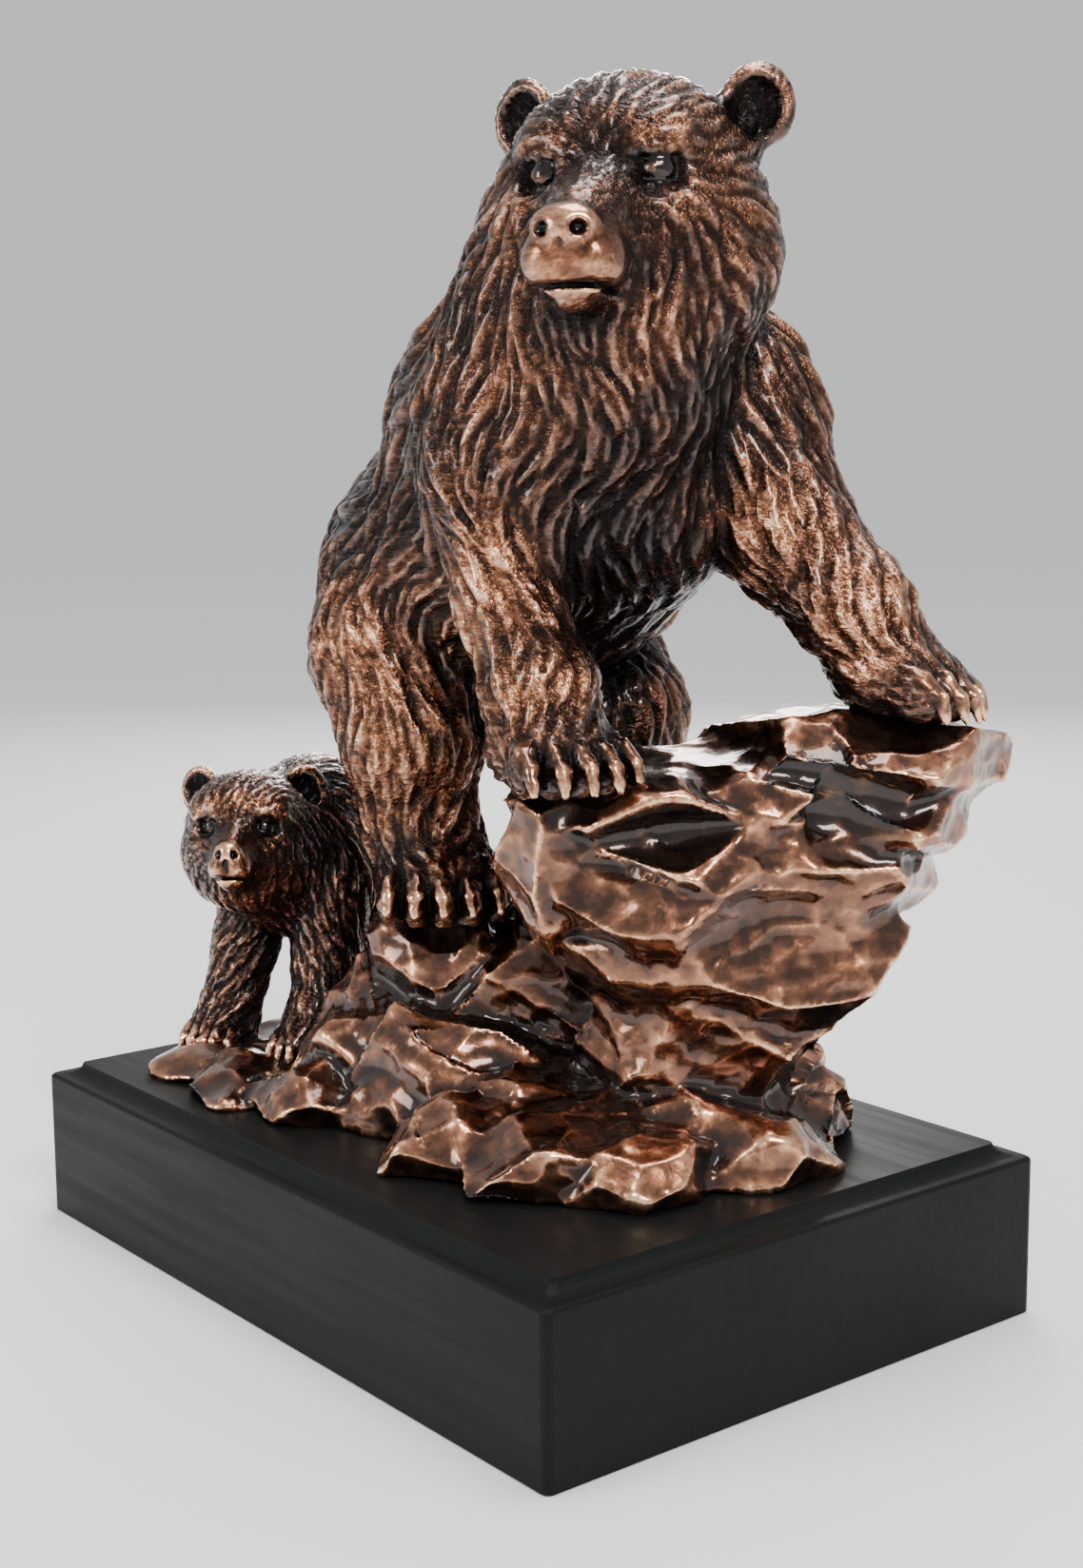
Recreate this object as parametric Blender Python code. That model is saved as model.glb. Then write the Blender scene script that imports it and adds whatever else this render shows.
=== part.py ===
"""A bear statue: a mother bear climbing a rock, with her cub beside it.

The bears and the rock are one casting with a rubbed copper finish. It stands on a black
lacquered plinth with a moulded upper edge. The front is -Y: the mother walks towards +X and
turns her head to the front. The origin is the centre of the plinth's underside.
"""

import math
import random

import bmesh
import bpy
import numpy as np
import openvdb

# Driving sizes, in metres
PLINTH_LENGTH = 0.254
PLINTH_WIDTH = 0.174
PLINTH_HEIGHT = 0.0486
CASTING_HEIGHT = 0.2908
SEAT_GAP = 0.0003

# The plinth's moulding: a rounded arris, then a cove that sweeps in and up to the top board
COVE_REACH = 0.0063
COVE_RISE = 0.0036
ARRIS_RADIUS = 0.0013
CORNER_RADIUS = 0.0022
CURVE_STEPS = 5

# How finely the casting is worked
CLAY_STEP = 0.0020
CASTING_TRIANGLES = 9500

# The casting is laid out in units of which its height has this many, from the plinth's top
HEIGHT_IN_UNITS = 290.8
UNIT = CASTING_HEIGHT / HEIGHT_IN_UNITS
STEP = CLAY_STEP / UNIT
CLAY_LOW = (-124.0, -80.0, -6.0)
CLAY_HIGH = (134.0, 98.0, 298.0)
FAR = 14.0

# A lock of hair where the coat is full, in units
LOCK_LENGTH = 27.0
LOCK_WIDTH = 12.0
LOCK_HEIGHT = 4.4
LOCK_SPACING = 9.0
LOCK_JOINTS = 5
LEAST_COAT = 0.22

# Faces are kept finer than coats: a face's radius from its centre, in units of a full-grown
# head, and how far its surface is spared when faces are merged
FACE_RADIUS = 36.0
FACE_SHARE = 0.5
FACE_CARE = 0.012

DOWN = (0.0, 0.0, -1.0)
UP = (0.0, 0.0, 1.0)


def unit(v):
    """The vector, one long."""
    v = np.asarray(v, float)
    return v / np.linalg.norm(v)


def axes_of(forward, up):
    """Rows that point forward, to the left and up."""
    f = unit(forward)
    left = unit(np.cross(up, f))
    return np.array([f, left, np.cross(f, left)])


class Egg:
    """An ellipsoid with its radii forward, sideways and up."""

    def __init__(self, centre, radii, forward=(1, 0, 0), up=UP):
        self.centre = np.asarray(centre, float)
        self.radii = np.asarray(radii, float)
        self.axes = axes_of(forward, up)

    def box(self):
        reach = np.sqrt(((self.axes.T * self.radii) ** 2).sum(1))
        return self.centre - reach, self.centre + reach

    def distance(self, p):
        q = (p - self.centre) @ self.axes.T
        near = np.linalg.norm(q / self.radii, axis=-1)
        slope = np.linalg.norm(q / self.radii**2, axis=-1)
        return near * (near - 1.0) / np.maximum(slope, 1e-6)


class Rod:
    """A round bar from a to b, whose radius runs from one value to the other."""

    def __init__(self, a, b, radius_a, radius_b):
        self.a = np.asarray(a, float)
        self.b = np.asarray(b, float)
        self.radius_a = radius_a
        self.radius_b = radius_b

    def box(self):
        r = max(self.radius_a, self.radius_b)
        return np.minimum(self.a, self.b) - r, np.maximum(self.a, self.b) + r

    def distance(self, p):
        along = self.b - self.a
        t = np.clip((p - self.a) @ along / (along @ along), 0.0, 1.0)
        off = np.linalg.norm(p - self.a - t[..., None] * along, axis=-1)
        return off - (self.radius_a + t * (self.radius_b - self.radius_a))


class Boulder(Egg):
    """A stone with flat faces, cut by planes all round from an ellipsoid that wears its corners."""

    SQUARENESS = 1.55
    WORN = 1.32

    def __init__(self, centre, radii, seed, faces=13, forward=(1, 0, 0), up=UP):
        super().__init__(centre, radii, forward, up)
        dice = random.Random(seed)
        normals = []
        for i in range(faces):
            z = 1.0 - 2.0 * (i + 0.5) / faces
            turn = i * math.pi * (3.0 - math.sqrt(5.0)) + seed
            ring = math.sqrt(1.0 - z * z)
            jitter = [dice.uniform(-0.25, 0.25) for _ in range(3)]
            point = (ring * math.cos(turn), ring * math.sin(turn), z)
            normals.append(unit([a + b for a, b in zip(point, jitter)] / self.radii))
        self.normals = np.array(normals)
        reach = np.abs(self.normals * self.radii) ** self.SQUARENESS
        support = reach.sum(axis=1) ** (1.0 / self.SQUARENESS)
        self.offsets = support * np.array([dice.uniform(0.84, 1.0) for _ in normals])
        self.radii = self.radii * self.WORN

    def distance(self, p):
        q = (p - self.centre) @ self.axes.T
        faces = (q @ self.normals.T - self.offsets).max(axis=-1)
        return np.maximum(faces, super().distance(p))


class Lock:
    """A lock of hair: a pointed blade that follows a line over the surface, thickest near its tip."""

    def __init__(self, line, normals, width):
        self.line = line
        self.normals = normals
        self.width = width

    def box(self):
        return self.line.min(axis=0), self.line.max(axis=0)

    def height(self, p):
        """The height of the lock over each point, as a share of its greatest."""
        nearest = np.full(p.shape[:-1], FAR, np.float32)
        share = np.zeros_like(nearest)
        depth = np.zeros_like(nearest)
        runs = len(self.line) - 1
        for i in range(runs):
            along = self.line[i + 1] - self.line[i]
            off = p - self.line[i]
            t = np.clip(off @ along / (along @ along), 0.0, 1.0)
            rise = off @ self.normals[i]
            off = off - t[..., None] * along - rise[..., None] * self.normals[i]
            away = np.linalg.norm(off, axis=-1)
            better = away < nearest
            nearest = np.where(better, away, nearest)
            share = np.where(better, (i + t) / runs, share)
            depth = np.where(better, np.abs(rise), depth)
        reach = self.width / 2.0 * np.minimum(1.0, 0.5 + 2.0 * share) * (1.0 - share ** 3)
        across = np.clip(1.0 - (nearest / np.maximum(reach, 0.1)) ** 2, 0.0, 1.0)
        swell = np.minimum(1.0, 0.25 + 1.3 * share) * np.clip((1.0 - share) * 6.0, 0.0, 1.0)
        return across * swell * (depth < self.width)


class Clay:
    """A block of space that holds the modelled surface, and how hair lies on it.

    Each grid point keeps its distance to the surface, the size of the locks there (1 is a
    full coat, 0 or less is bare) and the direction in which they are combed.
    """

    def __init__(self, low, high, step):
        self.low = np.asarray(low, float)
        self.step = step
        counts = np.ceil((np.asarray(high, float) - self.low) / step).astype(int) + 1
        self.field = np.full(counts, FAR, np.float32)
        self.coat = np.zeros(counts, np.float32)
        self.comb = np.zeros((*counts, 3), np.float32)
        self.ticks = [self.low[i] + step * np.arange(counts[i]) for i in range(3)]

    def window(self, shape, margin):
        """The grid points in and near a shape."""
        low, high = shape.box()
        first = np.floor((low - margin - self.low) / self.step).astype(int)
        last = np.ceil((high + margin - self.low) / self.step).astype(int) + 1
        first = np.clip(first, 0, self.field.shape)
        last = np.clip(last, 0, self.field.shape)
        cut = tuple(slice(a, b) for a, b in zip(first, last))
        grid = np.meshgrid(*[t[c] for t, c in zip(self.ticks, cut)], indexing="ij")
        return cut, np.stack(grid, axis=-1).astype(np.float32)

    def add(self, shape, blend=4.0, coat=0.0, comb=DOWN):
        """Presses a shape on, its joins filled over the width of the blend."""
        cut, p = self.window(shape, FAR * 0.75)
        new = np.minimum(shape.distance(p), FAR)
        old = self.field[cut]
        h = np.clip(0.5 + 0.5 * (old - new) / blend, 0.0, 1.0)
        self.field[cut] = old + (new - old) * h - blend * h * (1.0 - h)
        self.coat[cut] += (coat - self.coat[cut]) * h
        self.comb[cut] += (unit(comb) - self.comb[cut]) * h[..., None]

    def carve(self, shape, blend=2.0):
        """Takes a shape out, its rim rounded over the width of the blend."""
        cut, p = self.window(shape, blend * 2.0)
        new = -shape.distance(p)
        old = self.field[cut]
        h = np.clip(0.5 - 0.5 * (old - new) / blend, 0.0, 1.0)
        self.field[cut] = old + (new - old) * h + blend * h * (1.0 - h)

    def cut_below(self, height):
        """Cuts the clay off flat."""
        self.field = np.maximum(self.field, (height - self.ticks[2]).astype(np.float32))

    def sample(self, points, values):
        """The values of the grid at the points, mixed from the eight around each."""
        place = (points - self.low) / self.step
        corner = np.clip(np.floor(place).astype(int), 0, np.array(self.field.shape) - 2)
        share = place - corner
        mixed = 0.0
        for i in (0, 1):
            for j in (0, 1):
                for k in (0, 1):
                    weight = np.prod(np.where([i, j, k], share, 1.0 - share), axis=1)
                    value = values[corner[:, 0] + i, corner[:, 1] + j, corner[:, 2] + k]
                    mixed = mixed + (weight if value.ndim == 1 else weight[:, None]) * value
        return mixed

    def normals(self, points):
        """The directions straight out of the surface at the points."""
        slope = []
        for way in np.eye(3):
            ahead = self.sample(points + way * self.step, self.field)
            slope.append(ahead - self.sample(points - way * self.step, self.field))
        slope = np.stack(slope, axis=1)
        return slope / np.maximum(np.linalg.norm(slope, axis=1), 1e-6)[:, None]

    def surface(self):
        """The surface as points and faces of four."""
        grid = openvdb.FloatGrid(FAR)
        grid.copyFromArray(self.field)
        points, quads = grid.convertToQuads()
        return points * self.step + self.low, quads


class Pose:
    """A place and a size for a form that is described by its own forward, left and up."""

    def __init__(self, centre, forward, up=UP, size=1.0):
        self.centre = np.asarray(centre, float)
        self.axes = axes_of(forward, up)
        self.size = size

    def at(self, forward, left, up):
        return self.centre + self.size * (np.array([forward, left, up]) @ self.axes)

    def moved(self, forward, left, up):
        return Pose(self.at(forward, left, up), self.axes[0], self.axes[2], self.size)

    def way(self, forward, left, up):
        return np.array([forward, left, up]) @ self.axes

    def egg(self, centre, radii, tilt=0.0, turn=0.0):
        """An egg, its nose tilted up and turned to the left by these degrees."""
        rise, swing = math.radians(tilt), math.radians(turn)
        forward = self.way(math.cos(rise) * math.cos(swing), math.cos(rise) * math.sin(swing), math.sin(rise))
        return Egg(self.at(*centre), np.array(radii) * self.size, forward, self.axes[2])

    def rod(self, a, b, radius_a, radius_b):
        return Rod(self.at(*a), self.at(*b), radius_a * self.size, radius_b * self.size)


def limb(clay, joints, radii, blend, coat, comb=None):
    """A leg, as rods from joint to joint, its hair combed along it unless told otherwise."""
    for (a, b), (ra, rb) in zip(zip(joints, joints[1:]), zip(radii, radii[1:])):
        lie = comb or np.array(b) - np.array(a)
        clay.add(Rod(a, b, ra, rb), blend, coat, lie)


def paw(clay, wrist, centre, forward, size, claws=1.0):
    """A paw with five toes, each with a curved claw."""
    foot = Pose(centre, forward, UP, size)
    lie = foot.way(1, 0, -0.15)
    clay.add(Rod(wrist, foot.at(-3, 0, 2), 12.5 * size, 11.5 * size), 5, 0.55, foot.way(1, 0, -0.5))
    clay.add(foot.egg((0, 0, 0), (16, 14.5, 10)), 4, 0.45, lie)
    for i in range(5):
        side = i - 2
        reach = 12.5 - 0.9 * side * side
        toe = (reach, 5.6 * side, -1.5)
        clay.add(foot.egg(toe, (7.5, 3.5, 6.0), tilt=-18, turn=9.2 * side), 1.6, 0.3, lie)
        root = (reach + 2.5, 6.1 * side, 2.2)
        bend = (reach + 2.5 + 5.1 * claws, 6.4 * side, 2.2 - 2.8 * claws)
        tip = (reach + 2.5 + 7.7 * claws, 6.6 * side, 2.2 - 8.0 * claws)
        clay.add(foot.rod(root, bend, 1.9, 1.7), 1.0, -0.7)
        clay.add(foot.rod(bend, tip, 1.7, 0.7), 0.5, -0.7)


def head(clay, pose, coat, cub=0.0):
    """A bear's head. A cub's muzzle is shorter, its cheeks and eyes smaller and its ears closer."""
    back = pose.way(-1, 0, 0.1)
    clay.add(pose.egg((-3, 0, 3), (30, 32 - 2 * cub, 27)), 6, coat, back)
    clay.add(pose.egg((6, 0, 13), (20, 24, 14), tilt=-14), 8, coat * 0.8, back)
    for side in (-1, 1):
        jowl = pose.way(-0.5, 0.35 * side, -0.8)
        cheek = pose.egg((-6, (18 - 3 * cub) * side, -15 + 3 * cub), (22, 21 - 4 * cub, 25 - 5 * cub), turn=12 * side)
        clay.add(cheek, 8, coat * 1.3, jowl)
        clay.add(pose.egg((14, (19 - 4 * cub) * side, -7), (12, 8, 8), turn=-25 * side), 6, coat * 0.6, jowl)
    clay.add(pose.egg((10 - 8 * cub, 0, -30 + 8 * cub), (20, 18, 16)), 8, coat * 1.2, pose.way(-0.5, 0, -0.8))
    muzzle(clay, pose.moved(0, 0, 2.5 * cub), coat, 1.0 - 0.12 * cub, 1.0 - 0.2 * cub)
    for side in (-1, 1):
        brow = pose.egg((17, 12.5 * side, 12.0), (9.5, 10, 5.5), tilt=-25, turn=-12 * side)
        clay.add(brow, 6, coat * 0.45, back)
        eye(clay, pose, side, cub)
        ear(clay, pose, side, coat, cub)


def muzzle(clay, pose, coat, length, width):
    """The snout with its nose, its lips and the parting between them."""
    back = pose.way(-1, 0, 0.1)
    clay.add(pose.rod((14, 0, -9), (42 * length, 0, -17.5), 17.5 * width, 12 * width), 7, coat * 0.35, back)
    clay.add(pose.egg((28 * length, 0, -5.5), (22 * length, 9.5 * width, 9), tilt=-17), 5, coat * 0.42, back)
    for side in (-1, 1):
        lip = pose.egg((44.5 * length, 5.6 * width * side, -20.5), (9.5, 7.8 * width, 7.8 * width))
        clay.add(lip, 2.5, -0.35)
    jaw = pose.rod((18, 0, -22), (44 * length, 0, -27), 10 * width, 5.8 * width)
    clay.add(jaw, 3, coat * 0.4, pose.way(-1, 0, -0.6))
    clay.carve(pose.egg((45 * length, 0, -27.2 + 7 * (1 - width)), (14, 15 * width, 0.7), tilt=4), 0.6)
    clay.add(pose.rod((20, 0, -22), (43 * length, 0, -24.5), 9.0 * width, 6.6 * width), 0.8)
    clay.add(pose.egg((50.5 * length, 0, -13.2), (6.8, 9.2 * width, 6.4), tilt=-12), 1.5, -0.35)
    clay.carve(pose.rod((56 * length, 0, -17), (54 * length, 0, -26), 1.1, 0.9), 0.6)
    for side in (-1, 1):
        nostril = pose.egg((56.2 * length, 5.6 * width * side, -13.6), (3.8, 2.5 * width, 2.1), turn=35 * side)
        clay.carve(nostril, 0.8)


EYE_RADIUS = 4.4


def eye_place(side, cub):
    """Where a head's eye is, forward, left and up of its centre."""
    return 21.0, (14.4 - 1.8 * cub) * side, 3.4


def eye(clay, pose, side, cub):
    """A round eye between its lids, deep in a hollow under the brow."""
    size = 1.0 - 0.25 * cub
    turn = 30 * side
    outward = np.array((math.cos(math.radians(turn)), math.sin(math.radians(turn)), 0.0))
    ball = np.array(eye_place(side, cub)) + 0.6 * outward
    clay.carve(pose.egg(ball + 5.6 * outward, (6.4, 8.2 * size, 6.8 * size), turn=turn), 3.0)
    clay.add(pose.egg(ball + (0, 0, 2.2 * size) - 0.7 * outward, (5.2, 6.2 * size, 4.4 * size), turn=turn), 1.2)
    clay.add(pose.egg(ball - (0, 0, 3.0 * size) - 1.2 * outward, (5.2, 6.0 * size, 3.8 * size), turn=turn), 1.2)
    clay.add(pose.egg(ball, (EYE_RADIUS, EYE_RADIUS * size, EYE_RADIUS * size), turn=turn), 0.2)


def ear_place(side, cub):
    """Where a head's ear is, forward, left and up of its centre."""
    return np.array((-9.0, (32.6 - 5.0 * cub) * side, 22.0 + 1.5 * cub))


def ear(clay, pose, side, coat, cub):
    """A round ear that opens forward, with a deep hollow in it."""
    place = ear_place(side, cub)
    lean = 22 * side
    upward = pose.way(0, 0.4 * side, 1)
    clay.add(pose.rod(place - (-1, 8 * side, 9), place - (0, 3 * side, 3), 8, 6.5), 5, coat * 0.6, upward)
    size = 1.0 + 0.15 * cub
    clay.add(pose.egg(place, (4.2, 9.6 * size, 10.8 * size), turn=lean), 3, coat * 0.5, upward)
    clay.carve(pose.egg(place + (5.0, 0.7 * side, -0.5), (6.6, 8.2 * size, 9.2 * size), turn=lean), 0.8)


# The mother's main places, in units from the centre of the plinth's top
MOTHER_POSE = Pose((49.3, 5.7, 257.5), (0.523, -0.853, 0.0))
MOTHER_AXIS = (0.86, -0.04, 0.50)
FLANK = (-0.75, 0.0, -0.65)


def mother(clay):
    """The mother's body, legs, neck and head."""
    axis = MOTHER_AXIS
    clay.add(Egg((-42, 14, 136), (34, 37, 38), axis), 8, 1.0, (-0.5, 0, -1))
    clay.add(Rod((-72, 15, 156), (-82, 16, 140), 8, 4.5), 6, 0.7, (-0.4, 0, -1))
    clay.add(Egg((-24, 12, 158), (46, 43, 43), axis), 12, 1.0, FLANK)
    clay.add(Egg((10, 12, 178), (48, 43, 44), axis), 12, 1.0, FLANK)
    clay.add(Egg((0, 6, 202), (37, 35, 33), axis), 12, 1.0, FLANK)
    clay.add(Egg((8, 29, 153), (33, 22, 21), axis), 10, 0.9, FLANK)
    clay.add(Egg((34, 20, 186), (27, 32, 38), axis), 10, 0.8, (0.25, -0.1, -1))
    hind_legs(clay)
    forelegs(clay)
    clay.add(Rod((23, 8, 206), (42, 5, 244), 41, 34), 12, 1.0, (-0.3, 0, -1))
    clay.add(Rod((46, 3, 210), (52, 1, 236), 27, 27), 10, 0.95, (-0.1, 0, -1))
    head(clay, MOTHER_POSE, 0.5)


def hind_legs(clay):
    """The right hind leg stands on the mound, the left one on a ledge behind the rock."""
    clay.add(Egg((-36, -12, 140), (25, 18, 38), (1, 0, 0.2)), 10, 1.0, (-0.2, 0, -1))
    limb(clay, [(-32, -16, 132), (-20, -18, 108), (-22, -15, 82), (-18, -15, 70)], [24, 18.5, 15, 14], 6, 0.8)
    paw(clay, (-19, -15, 80), (-9, -16, 66), (0.82, -0.57, 0), 1.24, claws=0.7)
    clay.add(Egg((-34, 44, 138), (30, 19, 36), (1, 0, 0.2)), 10, 1.0, (-0.2, 0, -1))
    limb(clay, [(-26, 47, 134), (0, 44, 112), (-12, 48, 84), (-8, 48, 72)], [25, 19, 15, 14], 6, 0.8)
    paw(clay, (-10, 48, 80), (4, 48, 66), (1, 0, 0), 1.1, claws=0.7)


# The joints of the forelegs, from the shoulder down
RIGHT_FORELEG = ((21, -15, 184), (29, -20, 152), (47, -24, 127))
LEFT_FORELEG = ((47, 43, 198), (68, 45, 169), (94, 49, 146))


def forelegs(clay):
    """Both forepaws are up on the rock, the left one reaching out and higher."""
    clay.add(Egg((21, -14, 186), (26, 19, 34), (1, 0, 0.3)), 6, 1.0, (0.1, 0, -1))
    limb(clay, RIGHT_FORELEG, [21, 14, 13], 4, 0.85)
    paw(clay, (46, -23, 127), (54, -25, 112), (0.96, -0.24, -0.05), 1.16)
    clay.add(Egg((48, 43, 198), (27, 21, 34), (0.8, 0.3, 0.2)), 10, 1.0, (0.2, 0.1, -1))
    limb(clay, LEFT_FORELEG, [24, 17, 14], 7, 0.85)
    paw(clay, (91, 49, 149), (103, 53, 131), (0.92, 0.38, -0.2), 1.12)


# The cub's main places
CUB_POSE = Pose((-77, -41, 74.5), (0.73, -0.68, 0.2), size=0.60)
CUB_WALK = (0.5, -0.86, 0.0)


def cub(clay):
    """The cub stands on the low end of the rock and looks out to the front."""
    coat = 0.5
    clay.add(Egg((-92, 4, 64), (26, 20, 22), CUB_WALK), 6, coat, (-0.6, 0.8, -0.8))
    clay.add(Egg((-86, -12, 72), (30, 20, 23), CUB_WALK), 8, coat, (-0.6, 0.8, -0.8))
    clay.add(Egg((-80, -22, 62), (20, 19, 22), CUB_WALK), 6, coat, DOWN)
    legs = [
        # hip or shoulder, knee and foot, with their radii and the paw's size
        ((-92, -26, 58), (-96, -32, 34), (-94, -40, 10), (13.5, 9.5, 8.5), 0.62),
        ((-68, -16, 58), (-67, -20, 34), (-61, -28, 12), (13.5, 9.5, 8.5), 0.62),
        ((-106, 6, 54), (-108, 10, 32), (-104, 6, 8), (15, 10, 8.5), 0.60),
        ((-84, 16, 54), (-84, 20, 32), (-78, 16, 8), (15, 10, 8.5), 0.60),
    ]
    for hip, knee, foot, radii, size in legs:
        limb(clay, [hip, knee, foot], radii, 4, coat * 0.9)
        sole = np.array(foot)
        paw(clay, sole + (0, 0, 5), sole + (1.5, -3.5, -0.5), CUB_WALK, size)
    clay.add(Rod((-84, -22, 66), (-81, -35, 73), 20, 17), 6, coat, (-0.2, 0.3, -1))
    head(clay, CUB_POSE, coat * 0.62, cub=1.0)


# The low stones round the rock's foot: where each is, and how high it reaches above its middle
RIM_STONES = (
    (-80, -44, 5), (-56, -49, 6), (-28, -43, 11), (4, -33, 13), (38, -45, 13), (66, -38, 13), (82, -20, 12),
    (90, 12, 13), (76, 38, 13), (52, 54, 13), (18, 57, 13), (-20, 57, 12), (-56, 54, 9), (-80, 32, 7), (-88, -8, 5),
)


def rock(clay):
    """The rock: a low base, a mound that the mother's hind legs stand on, and a tall crag."""
    for seed, (x, y, rise) in enumerate(RIM_STONES):
        clay.add(Boulder((1.03 * x, 1.03 * y, 2), (20, 18, rise), seed, forward=(-y, x, 0)), 3.0)
    stones = [
        # centre, radii, seed, and the way up of its layers
        ((-60, -8, 1), (36, 40, 8), 3, (0.05, 0, 1)),
        ((-14, -6, 3), (42, 44, 13), 5, (0, 0.05, 1)),
        ((24, -2, 4), (42, 46, 14), 8, (0, 0.1, 1)),
        ((54, 6, 5), (36, 42, 15), 11, (0.05, 0, 1)),
        ((-6, 20, 20), (42, 46, 32), 14, (0, 0.2, 1)),
        ((-16, -10, 38), (25, 20, 21), 2, (0.1, 0.2, 1)),
        ((-24, -18, 20), (25, 22, 19), 9, (0.1, 0.3, 1)),
        ((10, -26, 16), (25, 22, 18), 23, (0, 0.3, 1)),
        ((-26, -30, 12), (20, 18, 15), 17, (0, 0.2, 1)),
        ((18, 18, 38), (24, 32, 20), 6, (0, 0, 1)),
    ]
    for centre, radii, seed, up in stones:
        clay.add(Boulder(centre, radii, seed, up=up), 3.0)
    crag = Pose((0, 0, 0), (0.623, 0.783, 0))
    layers = [
        # place along the crag, in from its front and up; radii likewise; seed; slope of the layer
        ((55, -40, 32), (28, 24, 28), 7, 0.0),
        ((60, -41, 57), (41, 27, 21), 12, 0.1),
        ((44, -48, 76), (30, 27, 19), 30, 0.0),
        ((84, -42, 82), (31, 27, 20), 42, 0.15),
        ((60, -44, 86), (34, 30, 15), 26, 0.12),
        ((15, -54, 86), (14, 16, 22), 61, 0.0),
        ((36, -44, 97), (29, 30, 10), 55, -0.04),
        ((68, -42, 101), (24, 27, 10), 28, 0.15),
        ((98, -42, 96), (27, 26, 14), 33, 0.1),
        ((95, -42, 108), (36, 30, 12), 19, 0.08),
    ]
    for centre, radii, seed, slope in layers:
        way_up = crag.way(-slope, 0.0, 1.0)
        clay.add(Boulder(crag.at(*centre), radii, seed, forward=crag.axes[0], up=way_up), 4.5)


def in_tangent(ways, normals):
    """The directions laid onto the surface, one long."""
    flat = ways - (ways * normals).sum(1)[:, None] * normals
    return flat / np.maximum(np.linalg.norm(flat, axis=1), 1e-6)[:, None]


def spaced_out(points, spacing, dice):
    """Indices of points, taken in a random order, that keep their spacing from each other."""
    cell = float(spacing.max())
    near = {}
    chosen = []
    order = list(range(len(points)))
    dice.shuffle(order)
    for i in order:
        p, gap = points[i], spacing[i]
        home = tuple(int(math.floor(c / cell)) for c in p)
        around = [
            near.get((home[0] + a, home[1] + b, home[2] + c), ())
            for a in (-1, 0, 1) for b in (-1, 0, 1) for c in (-1, 0, 1)
        ]
        if all(((points[j] - p) ** 2).sum() > gap * gap for cellful in around for j in cellful):
            near.setdefault(home, []).append(i)
            chosen.append(i)
    return chosen


def add_locks(clay, seed):
    """Raises locks of hair wherever the clay has a coat, each one laid along the surface."""
    dice = random.Random(seed)
    points, _ = clay.surface()
    coat = clay.sample(points, clay.coat)
    haired = np.flatnonzero(coat > LEAST_COAT)
    roots = haired[spaced_out(points[haired], LOCK_SPACING * coat[haired], dice)]
    size = coat[roots] * np.array([dice.uniform(0.8, 1.2) for _ in roots])
    turn = np.array([dice.gauss(0.0, 0.3) for _ in roots])
    curl = np.array([dice.uniform(-0.25, 0.25) for _ in roots])
    place = points[roots]
    lines, normals = [], []
    for joint in range(LOCK_JOINTS):
        out = clay.normals(place)
        place = place - out * clay.sample(place, clay.field)[:, None]
        lines.append(place)
        normals.append(out)
        lie = in_tangent(clay.sample(place, clay.comb), out)
        angle = (turn + curl * joint)[:, None]
        way = lie * np.cos(angle) + np.cross(out, lie) * np.sin(angle)
        place = place + way * (LOCK_LENGTH * size / (LOCK_JOINTS - 1.0))[:, None]
    lines, normals = np.stack(lines, axis=1), np.stack(normals, axis=1)
    relief = np.zeros_like(clay.field)
    for line, out, scale in zip(lines, normals, size):
        lock = Lock(line, out, LOCK_WIDTH * scale)
        cut, p = clay.window(lock, lock.width / 2.0)
        relief[cut] = np.maximum(relief[cut], lock.height(p) * LOCK_HEIGHT * scale)
    clay.field -= relief


def largest_body(mesh):
    """Takes away every part of the mesh that isn't joined to its largest one."""
    bm = bmesh.new()
    bm.from_mesh(mesh)
    left = set(bm.verts)
    bodies = []
    while left:
        body = set()
        edge = [left.pop()]
        while edge:
            v = edge.pop()
            body.add(v)
            for e in v.link_edges:
                other = e.other_vert(v)
                if other in left:
                    left.remove(other)
                    edge.append(other)
        bodies.append(body)
    bodies.sort(key=len)
    for body in bodies[:-1]:
        bmesh.ops.delete(bm, geom=list(body), context="VERTS")
    bmesh.ops.recalc_face_normals(bm, faces=bm.faces)
    bm.to_mesh(mesh)
    bm.free()


def put(mesh, collection):
    """An object of the mesh in the collection."""
    obj = bpy.data.objects.new(mesh.name, mesh)
    collection.objects.link(obj)
    return obj


def sculpted(name, forms, seed):
    """A mesh of the forms, in metres, with their locks of hair."""
    clay = Clay(CLAY_LOW, CLAY_HIGH, STEP)
    for form in forms:
        form(clay)
    add_locks(clay, seed)
    clay.cut_below(0.0)
    points, quads = clay.surface()
    points = points * UNIT + (0.0, 0.0, PLINTH_HEIGHT + SEAT_GAP)
    mesh = bpy.data.meshes.new(name)
    mesh.from_pydata(points.tolist(), [], quads.tolist())
    largest_body(mesh)
    return mesh


def spared_faces(obj):
    """A vertex group in which the bears' faces weigh less than the rest."""
    points = np.array([v.co for v in obj.data.vertices])
    points = (points - (0.0, 0.0, PLINTH_HEIGHT + SEAT_GAP)) / UNIT
    spared = np.zeros(len(points), bool)
    for head_pose in (MOTHER_POSE, CUB_POSE):
        off = points - head_pose.at(28, 0, -3)
        spared |= np.linalg.norm(off, axis=1) < FACE_RADIUS * head_pose.size
    group = obj.vertex_groups.new(name="merging")
    group.add(np.flatnonzero(~spared).tolist(), 1.0, "REPLACE")
    group.add(np.flatnonzero(spared).tolist(), FACE_SHARE, "REPLACE")
    return group


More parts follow.
